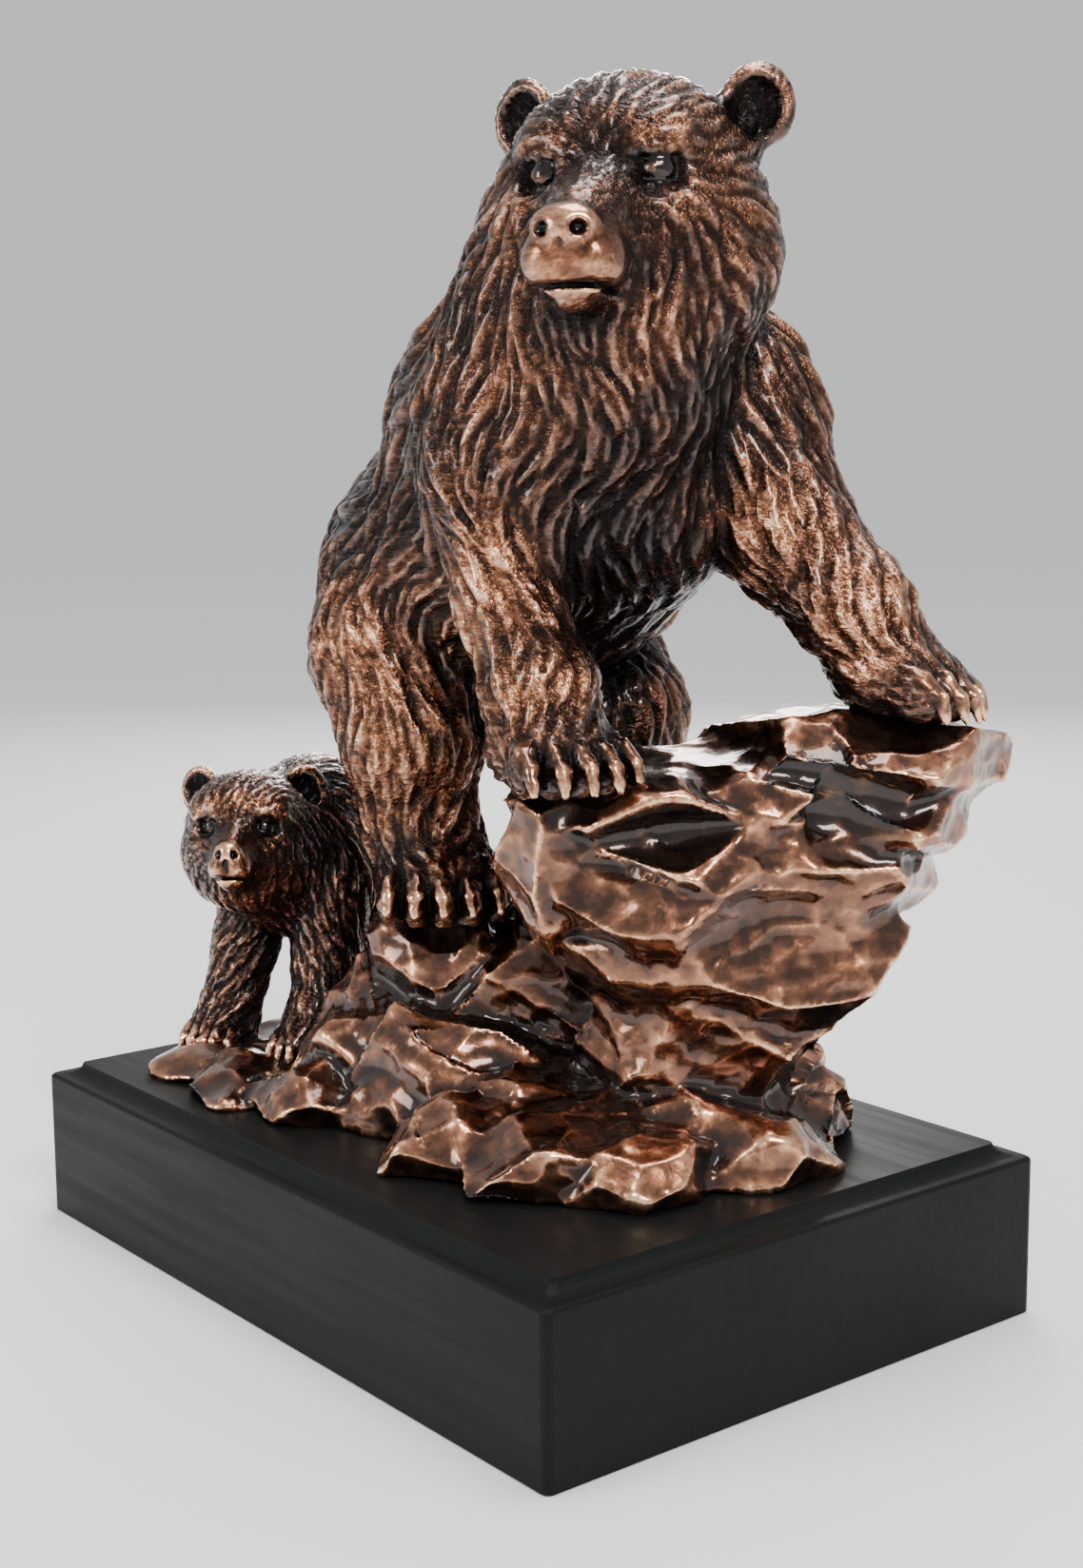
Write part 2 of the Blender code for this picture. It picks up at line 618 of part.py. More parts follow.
def casting(collection):
    """The bears and the rock, cast as one."""
    mesh = sculpted("bear_casting", (rock, mother, cub), 1)
    obj = put(mesh, collection)
    thin = obj.modifiers.new("fewer faces", "DECIMATE")
    thin.ratio = CASTING_TRIANGLES / (2.0 * len(mesh.polygons))
    thin.vertex_group = spared_faces(obj).name
    thin.vertex_group_factor = FACE_CARE
    mesh.materials.append(material("rubbed_copper", (0.20, 0.085, 0.045), 0.28, 1.0))
    mesh.shade_smooth()
    return obj


def plinth(collection):
    """A block whose top edge is moulded, in steps that follow a quarter circle and a cove."""
    side_height = PLINTH_HEIGHT - COVE_RISE - ARRIS_RADIUS
    bm = bmesh.new()
    bmesh.ops.create_cube(bm, size=1.0)
    bmesh.ops.scale(bm, verts=bm.verts, vec=(PLINTH_LENGTH, PLINTH_WIDTH, side_height))
    bmesh.ops.translate(bm, verts=bm.verts, vec=(0, 0, side_height / 2))
    uprights = [e for e in bm.edges if abs(e.verts[0].co.z - e.verts[1].co.z) > side_height / 2]
    bmesh.ops.bevel(bm, geom=uprights, offset=CORNER_RADIUS, segments=3, profile=0.5, affect="EDGES")
    top = max(bm.faces, key=lambda f: f.calc_center_median().z)
    outline = [(0.0, 0.0)]
    for i in range(1, CURVE_STEPS + 1):
        turn = math.pi / 2 * i / CURVE_STEPS
        outline.append((ARRIS_RADIUS * (1 - math.cos(turn)), ARRIS_RADIUS * math.sin(turn)))
    for i in range(1, CURVE_STEPS + 1):
        turn = math.pi / 2 * i / CURVE_STEPS
        rise = COVE_RISE * (1 - math.cos(turn))
        outline.append((ARRIS_RADIUS + COVE_REACH * math.sin(turn), ARRIS_RADIUS + rise))
    for (x0, z0), (x1, z1) in zip(outline, outline[1:]):
        raised = bmesh.ops.extrude_face_region(bm, geom=[top])["geom"]
        bmesh.ops.delete(bm, geom=[top], context="FACES_ONLY")
        top = next(f for f in raised if isinstance(f, bmesh.types.BMFace))
        narrower = [(size - 2 * x1) / (size - 2 * x0) for size in (PLINTH_LENGTH, PLINTH_WIDTH)]
        bmesh.ops.scale(bm, verts=top.verts, vec=(*narrower, 1.0))
        bmesh.ops.translate(bm, verts=top.verts, vec=(0, 0, z1 - z0))
    bmesh.ops.recalc_face_normals(bm, faces=bm.faces)
    mesh = bpy.data.meshes.new("plinth")
    bm.to_mesh(mesh)
    bm.free()
    mesh.materials.append(material("black_lacquer", (0.012, 0.012, 0.013), 0.35, 0.0))
    return put(mesh, collection)


def material(name, colour, roughness, metallic):
    """A plain material for one sub-part."""
    made = bpy.data.materials.new(name)
    made.use_nodes = True
    shader = made.node_tree.nodes["Principled BSDF"]
    shader.inputs["Base Color"].default_value = (*colour, 1.0)
    shader.inputs["Roughness"].default_value = roughness
    shader.inputs["Metallic"].default_value = metallic
    return made


def main():
    """Clears the scene and builds the statue."""
    for obj in list(bpy.data.objects):
        bpy.data.objects.remove(obj)
    statue = bpy.data.collections.new("bear_statue")
    bpy.context.scene.collection.children.link(statue)
    plinth(statue)
    casting(statue)


main()
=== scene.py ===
"""The looks of the bear statue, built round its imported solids.

The mother bear, her cub and the rock are modelled again with a fine coat of hair and worn
facets, and take the place of the casting's plain solid. The plinth keeps its solid.
"""

import math
import random

import bpy
import numpy as np
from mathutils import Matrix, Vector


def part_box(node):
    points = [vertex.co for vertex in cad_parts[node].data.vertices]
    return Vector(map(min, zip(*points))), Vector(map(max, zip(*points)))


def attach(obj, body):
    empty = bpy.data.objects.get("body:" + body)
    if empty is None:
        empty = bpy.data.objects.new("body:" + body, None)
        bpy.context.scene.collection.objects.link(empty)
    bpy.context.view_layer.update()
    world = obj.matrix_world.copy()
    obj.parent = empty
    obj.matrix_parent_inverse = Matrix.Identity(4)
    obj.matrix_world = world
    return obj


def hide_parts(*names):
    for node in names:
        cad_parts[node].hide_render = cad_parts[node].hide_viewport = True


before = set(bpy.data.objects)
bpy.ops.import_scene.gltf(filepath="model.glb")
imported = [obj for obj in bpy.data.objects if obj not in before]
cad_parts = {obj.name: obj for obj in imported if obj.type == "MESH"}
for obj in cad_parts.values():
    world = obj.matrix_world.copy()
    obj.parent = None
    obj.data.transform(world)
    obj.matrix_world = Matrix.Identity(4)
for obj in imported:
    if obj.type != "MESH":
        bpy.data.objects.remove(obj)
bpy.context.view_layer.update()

import openvdb
from mathutils import Matrix
from mathutils.kdtree import KDTree

# The casting is laid out in units above the plinth's top, of which its height has this many
HEIGHT_IN_UNITS = 290.8
CASTING_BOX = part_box("bear_casting")
SEAT = CASTING_BOX[0][2]
UNIT = (CASTING_BOX[1][2] - SEAT) / HEIGHT_IN_UNITS

# How far out distances are kept in the clay, and how far round a shape they are changed, in units
FAR = 26.0
REACH = 6.5

DOWN = (0.0, 0.0, -1.0)
UP = (0.0, 0.0, 1.0)


def unit(v):
    """The vector, one long."""
    v = np.asarray(v, float)
    return v / np.linalg.norm(v)


def axes_of(forward, up):
    """Rows that point forward, to the left and up."""
    f = unit(forward)
    left = unit(np.cross(up, f))
    return np.array([f, left, np.cross(f, left)])


class Egg:
    """An ellipsoid with its radii forward, sideways and up."""

    def __init__(self, centre, radii, forward=(1, 0, 0), up=UP):
        self.centre = np.asarray(centre, float)
        self.radii = np.asarray(radii, float)
        self.axes = axes_of(forward, up)

    def box(self):
        """The lowest and the highest corner of the space that it takes."""
        reach = np.sqrt(((self.axes.T * self.radii) ** 2).sum(1))
        return self.centre - reach, self.centre + reach

    def distance(self, p):
        """How far the points are outside its surface, less than 0 inside."""
        q = (p - self.centre) @ self.axes.T
        near = np.linalg.norm(q / self.radii, axis=-1)
        slope = np.linalg.norm(q / self.radii**2, axis=-1)
        return near * (near - 1.0) / np.maximum(slope, 1e-6)


class Rod:
    """A round bar from a to b, whose radius runs from one value to the other."""

    def __init__(self, a, b, radius_a, radius_b):
        self.a = np.asarray(a, float)
        self.b = np.asarray(b, float)
        self.radius_a = radius_a
        self.radius_b = radius_b

    def box(self):
        """The lowest and the highest corner of the space that it takes."""
        r = max(self.radius_a, self.radius_b)
        return np.minimum(self.a, self.b) - r, np.maximum(self.a, self.b) + r

    def distance(self, p):
        """How far the points are outside its surface, less than 0 inside."""
        along = self.b - self.a
        t = np.clip((p - self.a) @ along / max(along @ along, 1e-6), 0.0, 1.0)
        off = np.linalg.norm(p - self.a - t[..., None] * along, axis=-1)
        return off - (self.radius_a + t * (self.radius_b - self.radius_a))


class Boulder(Egg):
    """A stone with flat faces, cut by planes all round from an ellipsoid that wears its corners."""

    SQUARENESS = 1.55
    WORN = 1.32

    def __init__(self, centre, radii, seed, faces=13, forward=(1, 0, 0), up=UP):
        super().__init__(centre, radii, forward, up)
        dice = random.Random(seed)
        normals = []
        for i in range(faces):
            z = 1.0 - 2.0 * (i + 0.5) / faces
            turn = i * math.pi * (3.0 - math.sqrt(5.0)) + seed
            ring = math.sqrt(1.0 - z * z)
            jitter = [dice.uniform(-0.25, 0.25) for _ in range(3)]
            point = (ring * math.cos(turn), ring * math.sin(turn), z)
            normals.append(unit([a + b for a, b in zip(point, jitter)] / self.radii))
        self.normals = np.array(normals)
        reach = np.abs(self.normals * self.radii) ** self.SQUARENESS
        support = reach.sum(axis=1) ** (1.0 / self.SQUARENESS)
        self.offsets = support * np.array([dice.uniform(0.84, 1.0) for _ in normals])
        self.radii = self.radii * self.WORN

    def distance(self, p):
        q = (p - self.centre) @ self.axes.T
        faces = (q @ self.normals.T - self.offsets).max(axis=-1)
        return np.maximum(faces, super().distance(p))


class Clay:
    """A block of space that holds the modelled surface, and how hair lies on it.

    Each grid point keeps its distance to the surface, the size of the locks there (1 is a
    full coat, 0 is bare and less is polished) and the direction in which they are combed.
    """

    def __init__(self, low, high, step, reach=REACH):
        self.low = np.asarray(low, float)
        self.step = step
        self.reach = reach
        counts = np.ceil((np.asarray(high, float) - self.low) / step).astype(int) + 1
        self.field = np.full(counts, FAR, np.float32)
        self.coat = np.zeros(counts, np.float32)
        self.comb = np.zeros((*counts, 3), np.float32)
        self.ticks = [self.low[i] + step * np.arange(counts[i]) for i in range(3)]

    def window(self, shape, margin):
        """The grid points in and near a shape."""
        low, high = shape.box()
        first = np.floor((low - margin - self.low) / self.step).astype(int)
        last = np.ceil((high + margin - self.low) / self.step).astype(int) + 1
        first = np.clip(first, 0, self.field.shape)
        last = np.clip(last, 0, self.field.shape)
        cut = tuple(slice(a, b) for a, b in zip(first, last))
        grid = np.meshgrid(*[t[c] for t, c in zip(self.ticks, cut)], indexing="ij")
        return cut, np.stack(grid, axis=-1).astype(np.float32)

    def add(self, shape, blend=4.0, coat=0.0, comb=DOWN):
        """Presses a shape on, its joins filled over the width of the blend."""
        cut, p = self.window(shape, self.reach)
        new = np.minimum(shape.distance(p), FAR).astype(np.float32)
        old = self.field[cut]
        h = np.clip(0.5 + 0.5 * (old - new) / blend, 0.0, 1.0)
        self.field[cut] = old + (new - old) * h - blend * h * (1.0 - h)
        self.coat[cut] += (coat - self.coat[cut]) * h
        self.comb[cut] += (unit(comb) - self.comb[cut]) * h[..., None]

    def carve(self, shape, blend=2.0):
        """Takes a shape out, its rim rounded over the width of the blend."""
        cut, p = self.window(shape, blend * 2.0)
        new = -shape.distance(p)
        old = self.field[cut]
        h = np.clip(0.5 - 0.5 * (old - new) / blend, 0.0, 1.0)
        self.field[cut] = old + (new - old) * h + blend * h * (1.0 - h)

    def cut_below(self, height):
        """Cuts the clay off flat."""
        self.field = np.maximum(self.field, (height - self.ticks[2]).astype(np.float32))

    def sample(self, points, values):
        """The values of the grid at the points, mixed from the eight around each."""
        place = (points - self.low) / self.step
        corner = np.clip(np.floor(place).astype(int), 0, np.array(self.field.shape) - 2)
        share = place - corner
        mixed = 0.0
        for i in (0, 1):
            for j in (0, 1):
                for k in (0, 1):
                    weight = np.prod(np.where([i, j, k], share, 1.0 - share), axis=1)
                    value = values[corner[:, 0] + i, corner[:, 1] + j, corner[:, 2] + k]
                    mixed = mixed + (weight if value.ndim == 1 else weight[:, None]) * value
        return mixed

    def normals(self, points):
        """The directions straight out of the surface at the points."""
        slope = []
        for way in np.eye(3):
            ahead = self.sample(points + way * self.step, self.field)
            slope.append(ahead - self.sample(points - way * self.step, self.field))
        slope = np.stack(slope, axis=1)
        return slope / np.maximum(np.linalg.norm(slope, axis=1), 1e-6)[:, None]

    def surface(self):
        """The surface as points and faces of four."""
        grid = openvdb.FloatGrid(FAR)
        grid.copyFromArray(self.field)
        points, quads = grid.convertToQuads()
        return points * self.step + self.low, quads


class Pose:
    """A place and a size for a form that is described by its own forward, left and up."""

    def __init__(self, centre, forward, up=UP, size=1.0):
        self.centre = np.asarray(centre, float)
        self.axes = axes_of(forward, up)
        self.size = size

    def at(self, forward, left, up):
        """The place that is so far forward, left and up of the centre."""
        return self.centre + self.size * (np.array([forward, left, up]) @ self.axes)

    def moved(self, forward, left, up):
        """The same pose with its centre moved."""
        return Pose(self.at(forward, left, up), self.axes[0], self.axes[2], self.size)

    def way(self, forward, left, up):
        """The direction that is so much forward, left and up."""
        return np.array([forward, left, up]) @ self.axes

    def egg(self, centre, radii, tilt=0.0, turn=0.0):
        """An egg, its nose tilted up and turned to the left by these degrees."""
        rise, swing = math.radians(tilt), math.radians(turn)
        level = math.cos(rise)
        forward = self.way(level * math.cos(swing), level * math.sin(swing), math.sin(rise))
        return Egg(self.at(*centre), np.array(radii) * self.size, forward, self.axes[2])

    def rod(self, a, b, radius_a, radius_b):
        """A rod between two places of the pose."""
        return Rod(self.at(*a), self.at(*b), radius_a * self.size, radius_b * self.size)


def limb(clay, joints, radii, blend, coat, comb=None):
    """A leg, as rods from joint to joint, its hair combed along it unless told otherwise."""
    for (a, b), (ra, rb) in zip(zip(joints, joints[1:]), zip(radii, radii[1:])):
        lie = comb or np.array(b) - np.array(a)
        clay.add(Rod(a, b, ra, rb), blend, coat, lie)


def paw(clay, wrist, centre, forward, size, claws=1.0):
    """A paw with five toes, each with a curved claw."""
    foot = Pose(centre, forward, UP, size)
    lie = foot.way(1, 0, -0.15)
    clay.add(Rod(wrist, foot.at(-3, 0, 2), 12.5 * size, 11.5 * size), 5, 0.55, foot.way(1, 0, -0.5))
    clay.add(foot.egg((0, 0, 0), (16, 14.5, 10)), 4, 0.45, lie)
    for i in range(5):
        side = i - 2
        reach = 12.5 - 0.9 * side * side
        toe = (reach, 5.6 * side, -1.5)
        clay.add(foot.egg(toe, (7.5, 3.5, 6.0), tilt=-18, turn=9.2 * side), 1.6, 0.3, lie)
        root = (reach + 2.5, 6.1 * side, 2.2)
        bend = (reach + 2.5 + 5.1 * claws, 6.4 * side, 2.2 - 2.8 * claws)
        tip = (reach + 2.5 + 7.7 * claws, 6.6 * side, 2.2 - 8.0 * claws)
        clay.add(foot.rod(root, bend, 1.9, 1.7), 1.0, -0.7)
        clay.add(foot.rod(bend, tip, 1.7, 0.7), 0.5, -0.7)


def head(clay, pose, coat, cub=0.0):
    """A bear's head. A cub's muzzle is shorter, its cheeks and eyes smaller and its ears closer."""
    back = pose.way(-1, 0, 0.1)
    clay.add(pose.egg((-3, 0, 3), (30, 32 - 2 * cub, 27)), 6, coat, back)
    clay.add(pose.egg((6, 0, 13), (20, 24, 14), tilt=-14), 8, coat * 0.8, back)
    for side in (-1, 1):
        jowl = pose.way(-0.5, 0.35 * side, -0.8)
        cheek_at = (-6, (18 - 3 * cub) * side, -15 + 3 * cub)
        cheek = pose.egg(cheek_at, (22, 21 - 4 * cub, 25 - 5 * cub), turn=12 * side)
        clay.add(cheek, 8, coat * 1.3, jowl)
        cheekbone = pose.egg((14, (19 - 4 * cub) * side, -7), (12, 8, 8), turn=-25 * side)
        clay.add(cheekbone, 6, coat * 0.6, jowl)
    throat = pose.egg((10 - 8 * cub, 0, -30 + 8 * cub), (20, 18, 16))
    clay.add(throat, 8, coat * 1.2, pose.way(-0.5, 0, -0.8))
    muzzle(clay, pose.moved(0, 0, 2.5 * cub), coat, 1.0 - 0.12 * cub, 1.0 - 0.2 * cub)
    for side in (-1, 1):
        brow = pose.egg((17, 12.5 * side, 12.0), (9.5, 10, 5.5), tilt=-25, turn=-12 * side)
        clay.add(brow, 6, coat * 0.45, back)
        eye(clay, pose, side, cub)
        ear(clay, pose, side, coat, cub)


def muzzle(clay, pose, coat, length, width):
    """The snout with its nose, its lips and the parting between them."""
    back = pose.way(-1, 0, 0.1)
    clay.add(pose.rod((14, 0, -9), (42 * length, 0, -17.5), 17.5 * width, 12 * width), 7, coat * 0.35, back)
    bridge = pose.egg((28 * length, 0, -5.5), (22 * length, 9.5 * width, 9), tilt=-17)
    clay.add(bridge, 5, coat * 0.42, back)
    for side in (-1, 1):
        lip = pose.egg((44.5 * length, 5.6 * width * side, -20.5), (9.5, 7.8 * width, 7.8 * width))
        clay.add(lip, 2.5, -0.35)
    jaw = pose.rod((18, 0, -22), (44 * length, 0, -27), 10 * width, 5.8 * width)
    clay.add(jaw, 3, coat * 0.4, pose.way(-1, 0, -0.6))
    clay.carve(pose.egg((45 * length, 0, -27.2 + 7 * (1 - width)), (14, 15 * width, 0.7), tilt=4), 0.6)
    clay.add(pose.rod((20, 0, -22), (43 * length, 0, -24.5), 9.0 * width, 6.6 * width), 0.8)
    clay.add(pose.egg((50.5 * length, 0, -13.2), (6.8, 9.2 * width, 6.4), tilt=-12), 1.5, -0.35)
    clay.carve(pose.rod((56 * length, 0, -17), (54 * length, 0, -26), 1.1, 0.9), 0.6)
    for side in (-1, 1):
        nostril_at = (56.2 * length, 5.6 * width * side, -13.6)
        clay.carve(pose.egg(nostril_at, (3.8, 2.5 * width, 2.1), turn=35 * side), 0.8)


EYE_RADIUS = 4.4


def eye_place(side, cub):
    """Where a head's eye is, forward, left and up of its centre."""
    return 21.0, (14.4 - 1.8 * cub) * side, 3.4


def eye(clay, pose, side, cub):
    """A round eye between its lids, deep in a hollow under the brow."""
    size = 1.0 - 0.25 * cub
    turn = 30 * side
    outward = np.array((math.cos(math.radians(turn)), math.sin(math.radians(turn)), 0.0))
    ball = np.array(eye_place(side, cub)) + 0.6 * outward
    clay.carve(pose.egg(ball + 5.6 * outward, (6.2, 7.8 * size, 6.6 * size), turn=turn), 2.5)
    upper_lid = ball + (0, 0, 4.8 * size) - 0.3 * outward
    clay.add(pose.egg(upper_lid, (4.8, 6.8 * size, 2.5 * size), turn=turn), 1.2)
    lower_lid = ball - (0, 0, 4.8 * size) - 1.0 * outward
    clay.add(pose.egg(lower_lid, (4.8, 6.4 * size, 2.2 * size), turn=turn), 1.2)
    clay.add(pose.egg(ball, (EYE_RADIUS, EYE_RADIUS * size, EYE_RADIUS * size), turn=turn), 0.2)


def ear_place(side, cub):
    """Where a head's ear is, forward, left and up of its centre."""
    return np.array((-9.0, (32.6 - 5.0 * cub) * side, 22.0 + 1.5 * cub))


def ear(clay, pose, side, coat, cub):
    """A round ear that opens forward, with a deep hollow in it."""
    place = ear_place(side, cub)
    lean = 22 * side
    upward = pose.way(0, 0.4 * side, 1)
    clay.add(pose.rod(place - (-1, 8 * side, 9), place - (0, 3 * side, 3), 8, 6.5), 5, coat * 0.6, upward)
    size = 1.0 + 0.15 * cub
    clay.add(pose.egg(place, (4.2, 9.6 * size, 10.8 * size), turn=lean), 3, coat * 0.5, upward)
    clay.carve(pose.egg(place + (5.0, 0.7 * side, -0.5), (6.6, 8.2 * size, 9.2 * size), turn=lean), 0.8)


# The mother's main places, in units from the centre of the plinth's top
MOTHER_POSE = Pose((49.3, 5.7, 257.5), (0.523, -0.853, 0.0))
MOTHER_AXIS = (0.86, -0.04, 0.50)
FLANK = (-0.75, 0.0, -0.65)


def mother(clay):
    """The mother's body, legs, neck and head."""
    axis = MOTHER_AXIS
    clay.add(Egg((-42, 14, 136), (34, 37, 38), axis), 8, 1.0, (-0.5, 0, -1))
    clay.add(Rod((-72, 15, 156), (-82, 16, 140), 8, 4.5), 6, 0.7, (-0.4, 0, -1))
    clay.add(Egg((-24, 12, 158), (46, 43, 43), axis), 12, 1.0, FLANK)
    clay.add(Egg((10, 12, 178), (48, 43, 44), axis), 12, 1.0, FLANK)
    clay.add(Egg((0, 6, 202), (37, 35, 33), axis), 12, 1.0, FLANK)
    clay.add(Egg((8, 29, 153), (33, 22, 21), axis), 10, 0.9, FLANK)
    clay.add(Egg((34, 20, 186), (27, 32, 38), axis), 10, 0.8, (0.25, -0.1, -1))
    hind_legs(clay)
    forelegs(clay)
    clay.add(Rod((23, 8, 206), (42, 5, 244), 41, 34), 12, 1.0, (-0.3, 0, -1))
    clay.add(Rod((46, 3, 210), (52, 1, 236), 27, 27), 10, 0.95, (-0.1, 0, -1))
    head(clay, MOTHER_POSE, 0.5)


def hind_legs(clay):
    """The right hind leg stands on the mound, the left one on a ledge behind the rock."""
    clay.add(Egg((-36, -12, 140), (25, 18, 38), (1, 0, 0.2)), 10, 1.0, (-0.2, 0, -1))
    right = [(-32, -16, 132), (-20, -18, 108), (-22, -15, 82), (-18, -15, 70)]
    limb(clay, right, [24, 18.5, 15, 14], 6, 0.8)
    paw(clay, (-19, -15, 80), (-9, -16, 66), (0.82, -0.57, 0), 1.24, claws=0.7)
    clay.add(Egg((-34, 44, 138), (30, 19, 36), (1, 0, 0.2)), 10, 1.0, (-0.2, 0, -1))
    left = [(-26, 47, 134), (0, 44, 112), (-12, 48, 84), (-8, 48, 72)]
    limb(clay, left, [25, 19, 15, 14], 6, 0.8)
    paw(clay, (-10, 48, 80), (4, 48, 66), (1, 0, 0), 1.1, claws=0.7)


# The joints of the forelegs, from the shoulder down
RIGHT_FORELEG = ((21, -15, 184), (29, -20, 152), (47, -24, 127))
LEFT_FORELEG = ((47, 43, 198), (68, 45, 169), (94, 49, 146))


def forelegs(clay):
    """Both forepaws are up on the rock, the left one reaching out and higher."""
    clay.add(Egg((21, -14, 186), (26, 19, 34), (1, 0, 0.3)), 6, 1.0, (0.1, 0, -1))
    limb(clay, RIGHT_FORELEG, [21, 14, 13], 4, 0.85)
    paw(clay, (46, -23, 127), (54, -25, 112), (0.96, -0.24, -0.05), 1.16)
    clay.add(Egg((48, 43, 198), (27, 21, 34), (0.8, 0.3, 0.2)), 10, 1.0, (0.2, 0.1, -1))
    limb(clay, LEFT_FORELEG, [24, 17, 14], 7, 0.85)
    paw(clay, (91, 49, 149), (103, 53, 131), (0.92, 0.38, -0.2), 1.12)


# The cub's main places
CUB_POSE = Pose((-77, -41, 74.5), (0.73, -0.68, 0.2), size=0.60)
CUB_WALK = (0.5, -0.86, 0.0)


def cub(clay):
    """The cub stands on the low end of the rock and looks out to the front."""
    coat = 0.5
    clay.add(Egg((-92, 4, 64), (26, 20, 22), CUB_WALK), 6, coat, (-0.6, 0.8, -0.8))
    clay.add(Egg((-86, -12, 72), (30, 20, 23), CUB_WALK), 8, coat, (-0.6, 0.8, -0.8))
    clay.add(Egg((-80, -22, 62), (20, 19, 22), CUB_WALK), 6, coat, DOWN)
    legs = [
        # hip or shoulder, knee and foot, with their radii and the paw's size
        ((-92, -26, 58), (-96, -32, 34), (-94, -40, 10), (13.5, 9.5, 8.5), 0.62),
        ((-68, -16, 58), (-67, -20, 34), (-61, -28, 12), (13.5, 9.5, 8.5), 0.62),
        ((-106, 6, 54), (-108, 10, 32), (-104, 6, 8), (15, 10, 8.5), 0.60),
        ((-84, 16, 54), (-84, 20, 32), (-78, 16, 8), (15, 10, 8.5), 0.60),
    ]
    for hip, knee, foot, radii, size in legs:
        limb(clay, [hip, knee, foot], radii, 4, coat * 0.9)
        sole = np.array(foot)
        paw(clay, sole + (0, 0, 5), sole + (1.5, -3.5, -0.5), CUB_WALK, size)
    clay.add(Rod((-84, -22, 66), (-81, -35, 73), 20, 17), 6, coat, (-0.2, 0.3, -1))
    head(clay, CUB_POSE, coat * 0.62, cub=1.0)


# The low stones round the rock's foot: where each is, and how high it reaches above its middle
RIM_STONES = (
    (-80, -44, 5), (-56, -49, 6), (-28, -43, 11), (4, -33, 13), (38, -45, 13),
    (66, -38, 13), (82, -20, 12), (90, 12, 13), (76, 38, 13), (52, 54, 13),
    (18, 57, 13), (-20, 57, 12), (-56, 54, 9), (-80, 32, 7), (-88, -8, 5),
)


def rock(clay):
    """The rock: a low base, a mound that the mother's hind legs stand on, and a tall crag."""
    for seed, (x, y, rise) in enumerate(RIM_STONES):
        clay.add(Boulder((1.03 * x, 1.03 * y, 2), (20, 18, rise), seed, forward=(-y, x, 0)), 3.0)
    stones = [
        # centre, radii, seed, and the way up of its layers
        ((-60, -8, 1), (36, 40, 8), 3, (0.05, 0, 1)),
        ((-14, -6, 3), (42, 44, 13), 5, (0, 0.05, 1)),
        ((24, -2, 4), (42, 46, 14), 8, (0, 0.1, 1)),
        ((54, 6, 5), (36, 42, 15), 11, (0.05, 0, 1)),
        ((-6, 20, 20), (42, 46, 32), 14, (0, 0.2, 1)),
        ((-16, -10, 38), (25, 20, 21), 2, (0.1, 0.2, 1)),
        ((-24, -18, 20), (25, 22, 19), 9, (0.1, 0.3, 1)),
        ((10, -26, 16), (25, 22, 18), 23, (0, 0.3, 1)),
        ((-26, -30, 12), (20, 18, 15), 17, (0, 0.2, 1)),
        ((18, 18, 38), (24, 32, 20), 6, (0, 0, 1)),
    ]
    for centre, radii, seed, up in stones:
        clay.add(Boulder(centre, radii, seed, up=up), 3.0)
    crag = Pose((0, 0, 0), (0.623, 0.783, 0))
    layers = [
        # place along the crag, in from its front and up; radii likewise; seed; slope of the layer
        ((55, -40, 32), (28, 24, 28), 7, 0.0),
        ((60, -41, 57), (41, 27, 21), 12, 0.1),
        ((44, -48, 76), (30, 27, 19), 30, 0.0),
        ((84, -42, 82), (31, 27, 20), 42, 0.15),
        ((60, -44, 86), (34, 30, 15), 26, 0.12),
        ((15, -54, 86), (14, 16, 22), 61, 0.0),
        ((36, -44, 97), (29, 30, 10), 55, -0.04),
        ((68, -42, 101), (24, 27, 10), 28, 0.15),
        ((98, -42, 96), (27, 26, 14), 33, 0.1),
        ((95, -42, 108), (36, 30, 12), 19, 0.08),
    ]
    for centre, radii, seed, slope in layers:
        way_up = crag.way(-slope, 0.0, 1.0)
        clay.add(Boulder(crag.at(*centre), radii, seed, forward=crag.axes[0], up=way_up), 4.5)


def in_tangent(ways, normals):
    """The directions laid onto the surface, one long."""
    flat = ways - (ways * normals).sum(1)[:, None] * normals
    return flat / np.maximum(np.linalg.norm(flat, axis=1), 1e-6)[:, None]


def thinned(points, spacing, dice):
    """One point, taken at random, from each small cube of a size that suits the spacing there."""
    level = np.round(2.0 * np.log2(spacing)).astype(int)
    size = 0.55 * 2.0 ** (level / 2.0)
    cell = np.floor(points / size[:, None]).astype(int)
    order = np.array(dice.sample(range(len(points)), len(points)))
    keys = np.column_stack((level, cell))[order]
    first = np.unique(keys, axis=0, return_index=True)[1]
    return order[np.sort(first)]


def spaced_out(points, spacing, dice):
    """Indices of points, taken in a random order, that keep their spacing from each other."""
    cell = float(spacing.max())
    homes = np.floor(points / cell).astype(int).tolist()
    near = {}
    chosen = []
    for i in thinned(points, spacing, dice).tolist():
        x, y, z = homes[i]
        around = [
            j for a in (-1, 0, 1) for b in (-1, 0, 1) for c in (-1, 0, 1)
            for j in near.get((x + a, y + b, z + c), ())
        ]
        if not around or (((points[around] - points[i]) ** 2).sum(axis=1) > spacing[i] ** 2).all():
            near.setdefault((x, y, z), []).append(i)
            chosen.append(i)
    return chosen


# Locks of hair: the joints of each, the coat that has any, and large and small ones in units
LOCK_JOINTS = 5
LEAST_COAT = 0.16
SHAG = dict(length=26.0, width=9.0, height=1.8, spacing=9.5, seed=1)
HAIR = dict(length=14.0, width=3.4, height=1.0, spacing=4.0, seed=2)

# How far the waves in the coat swing it to a side, in radians
WAVE = 0.6


def waviness(points):
    """How far the hair swings to one side at each point, in radians, in slow waves."""
    x, y, z = points.T
    return WAVE * (np.sin(z / 9.0 + x / 17.0) + np.sin(x / 7.0 - y / 11.0 + z / 23.0)) / 2.0


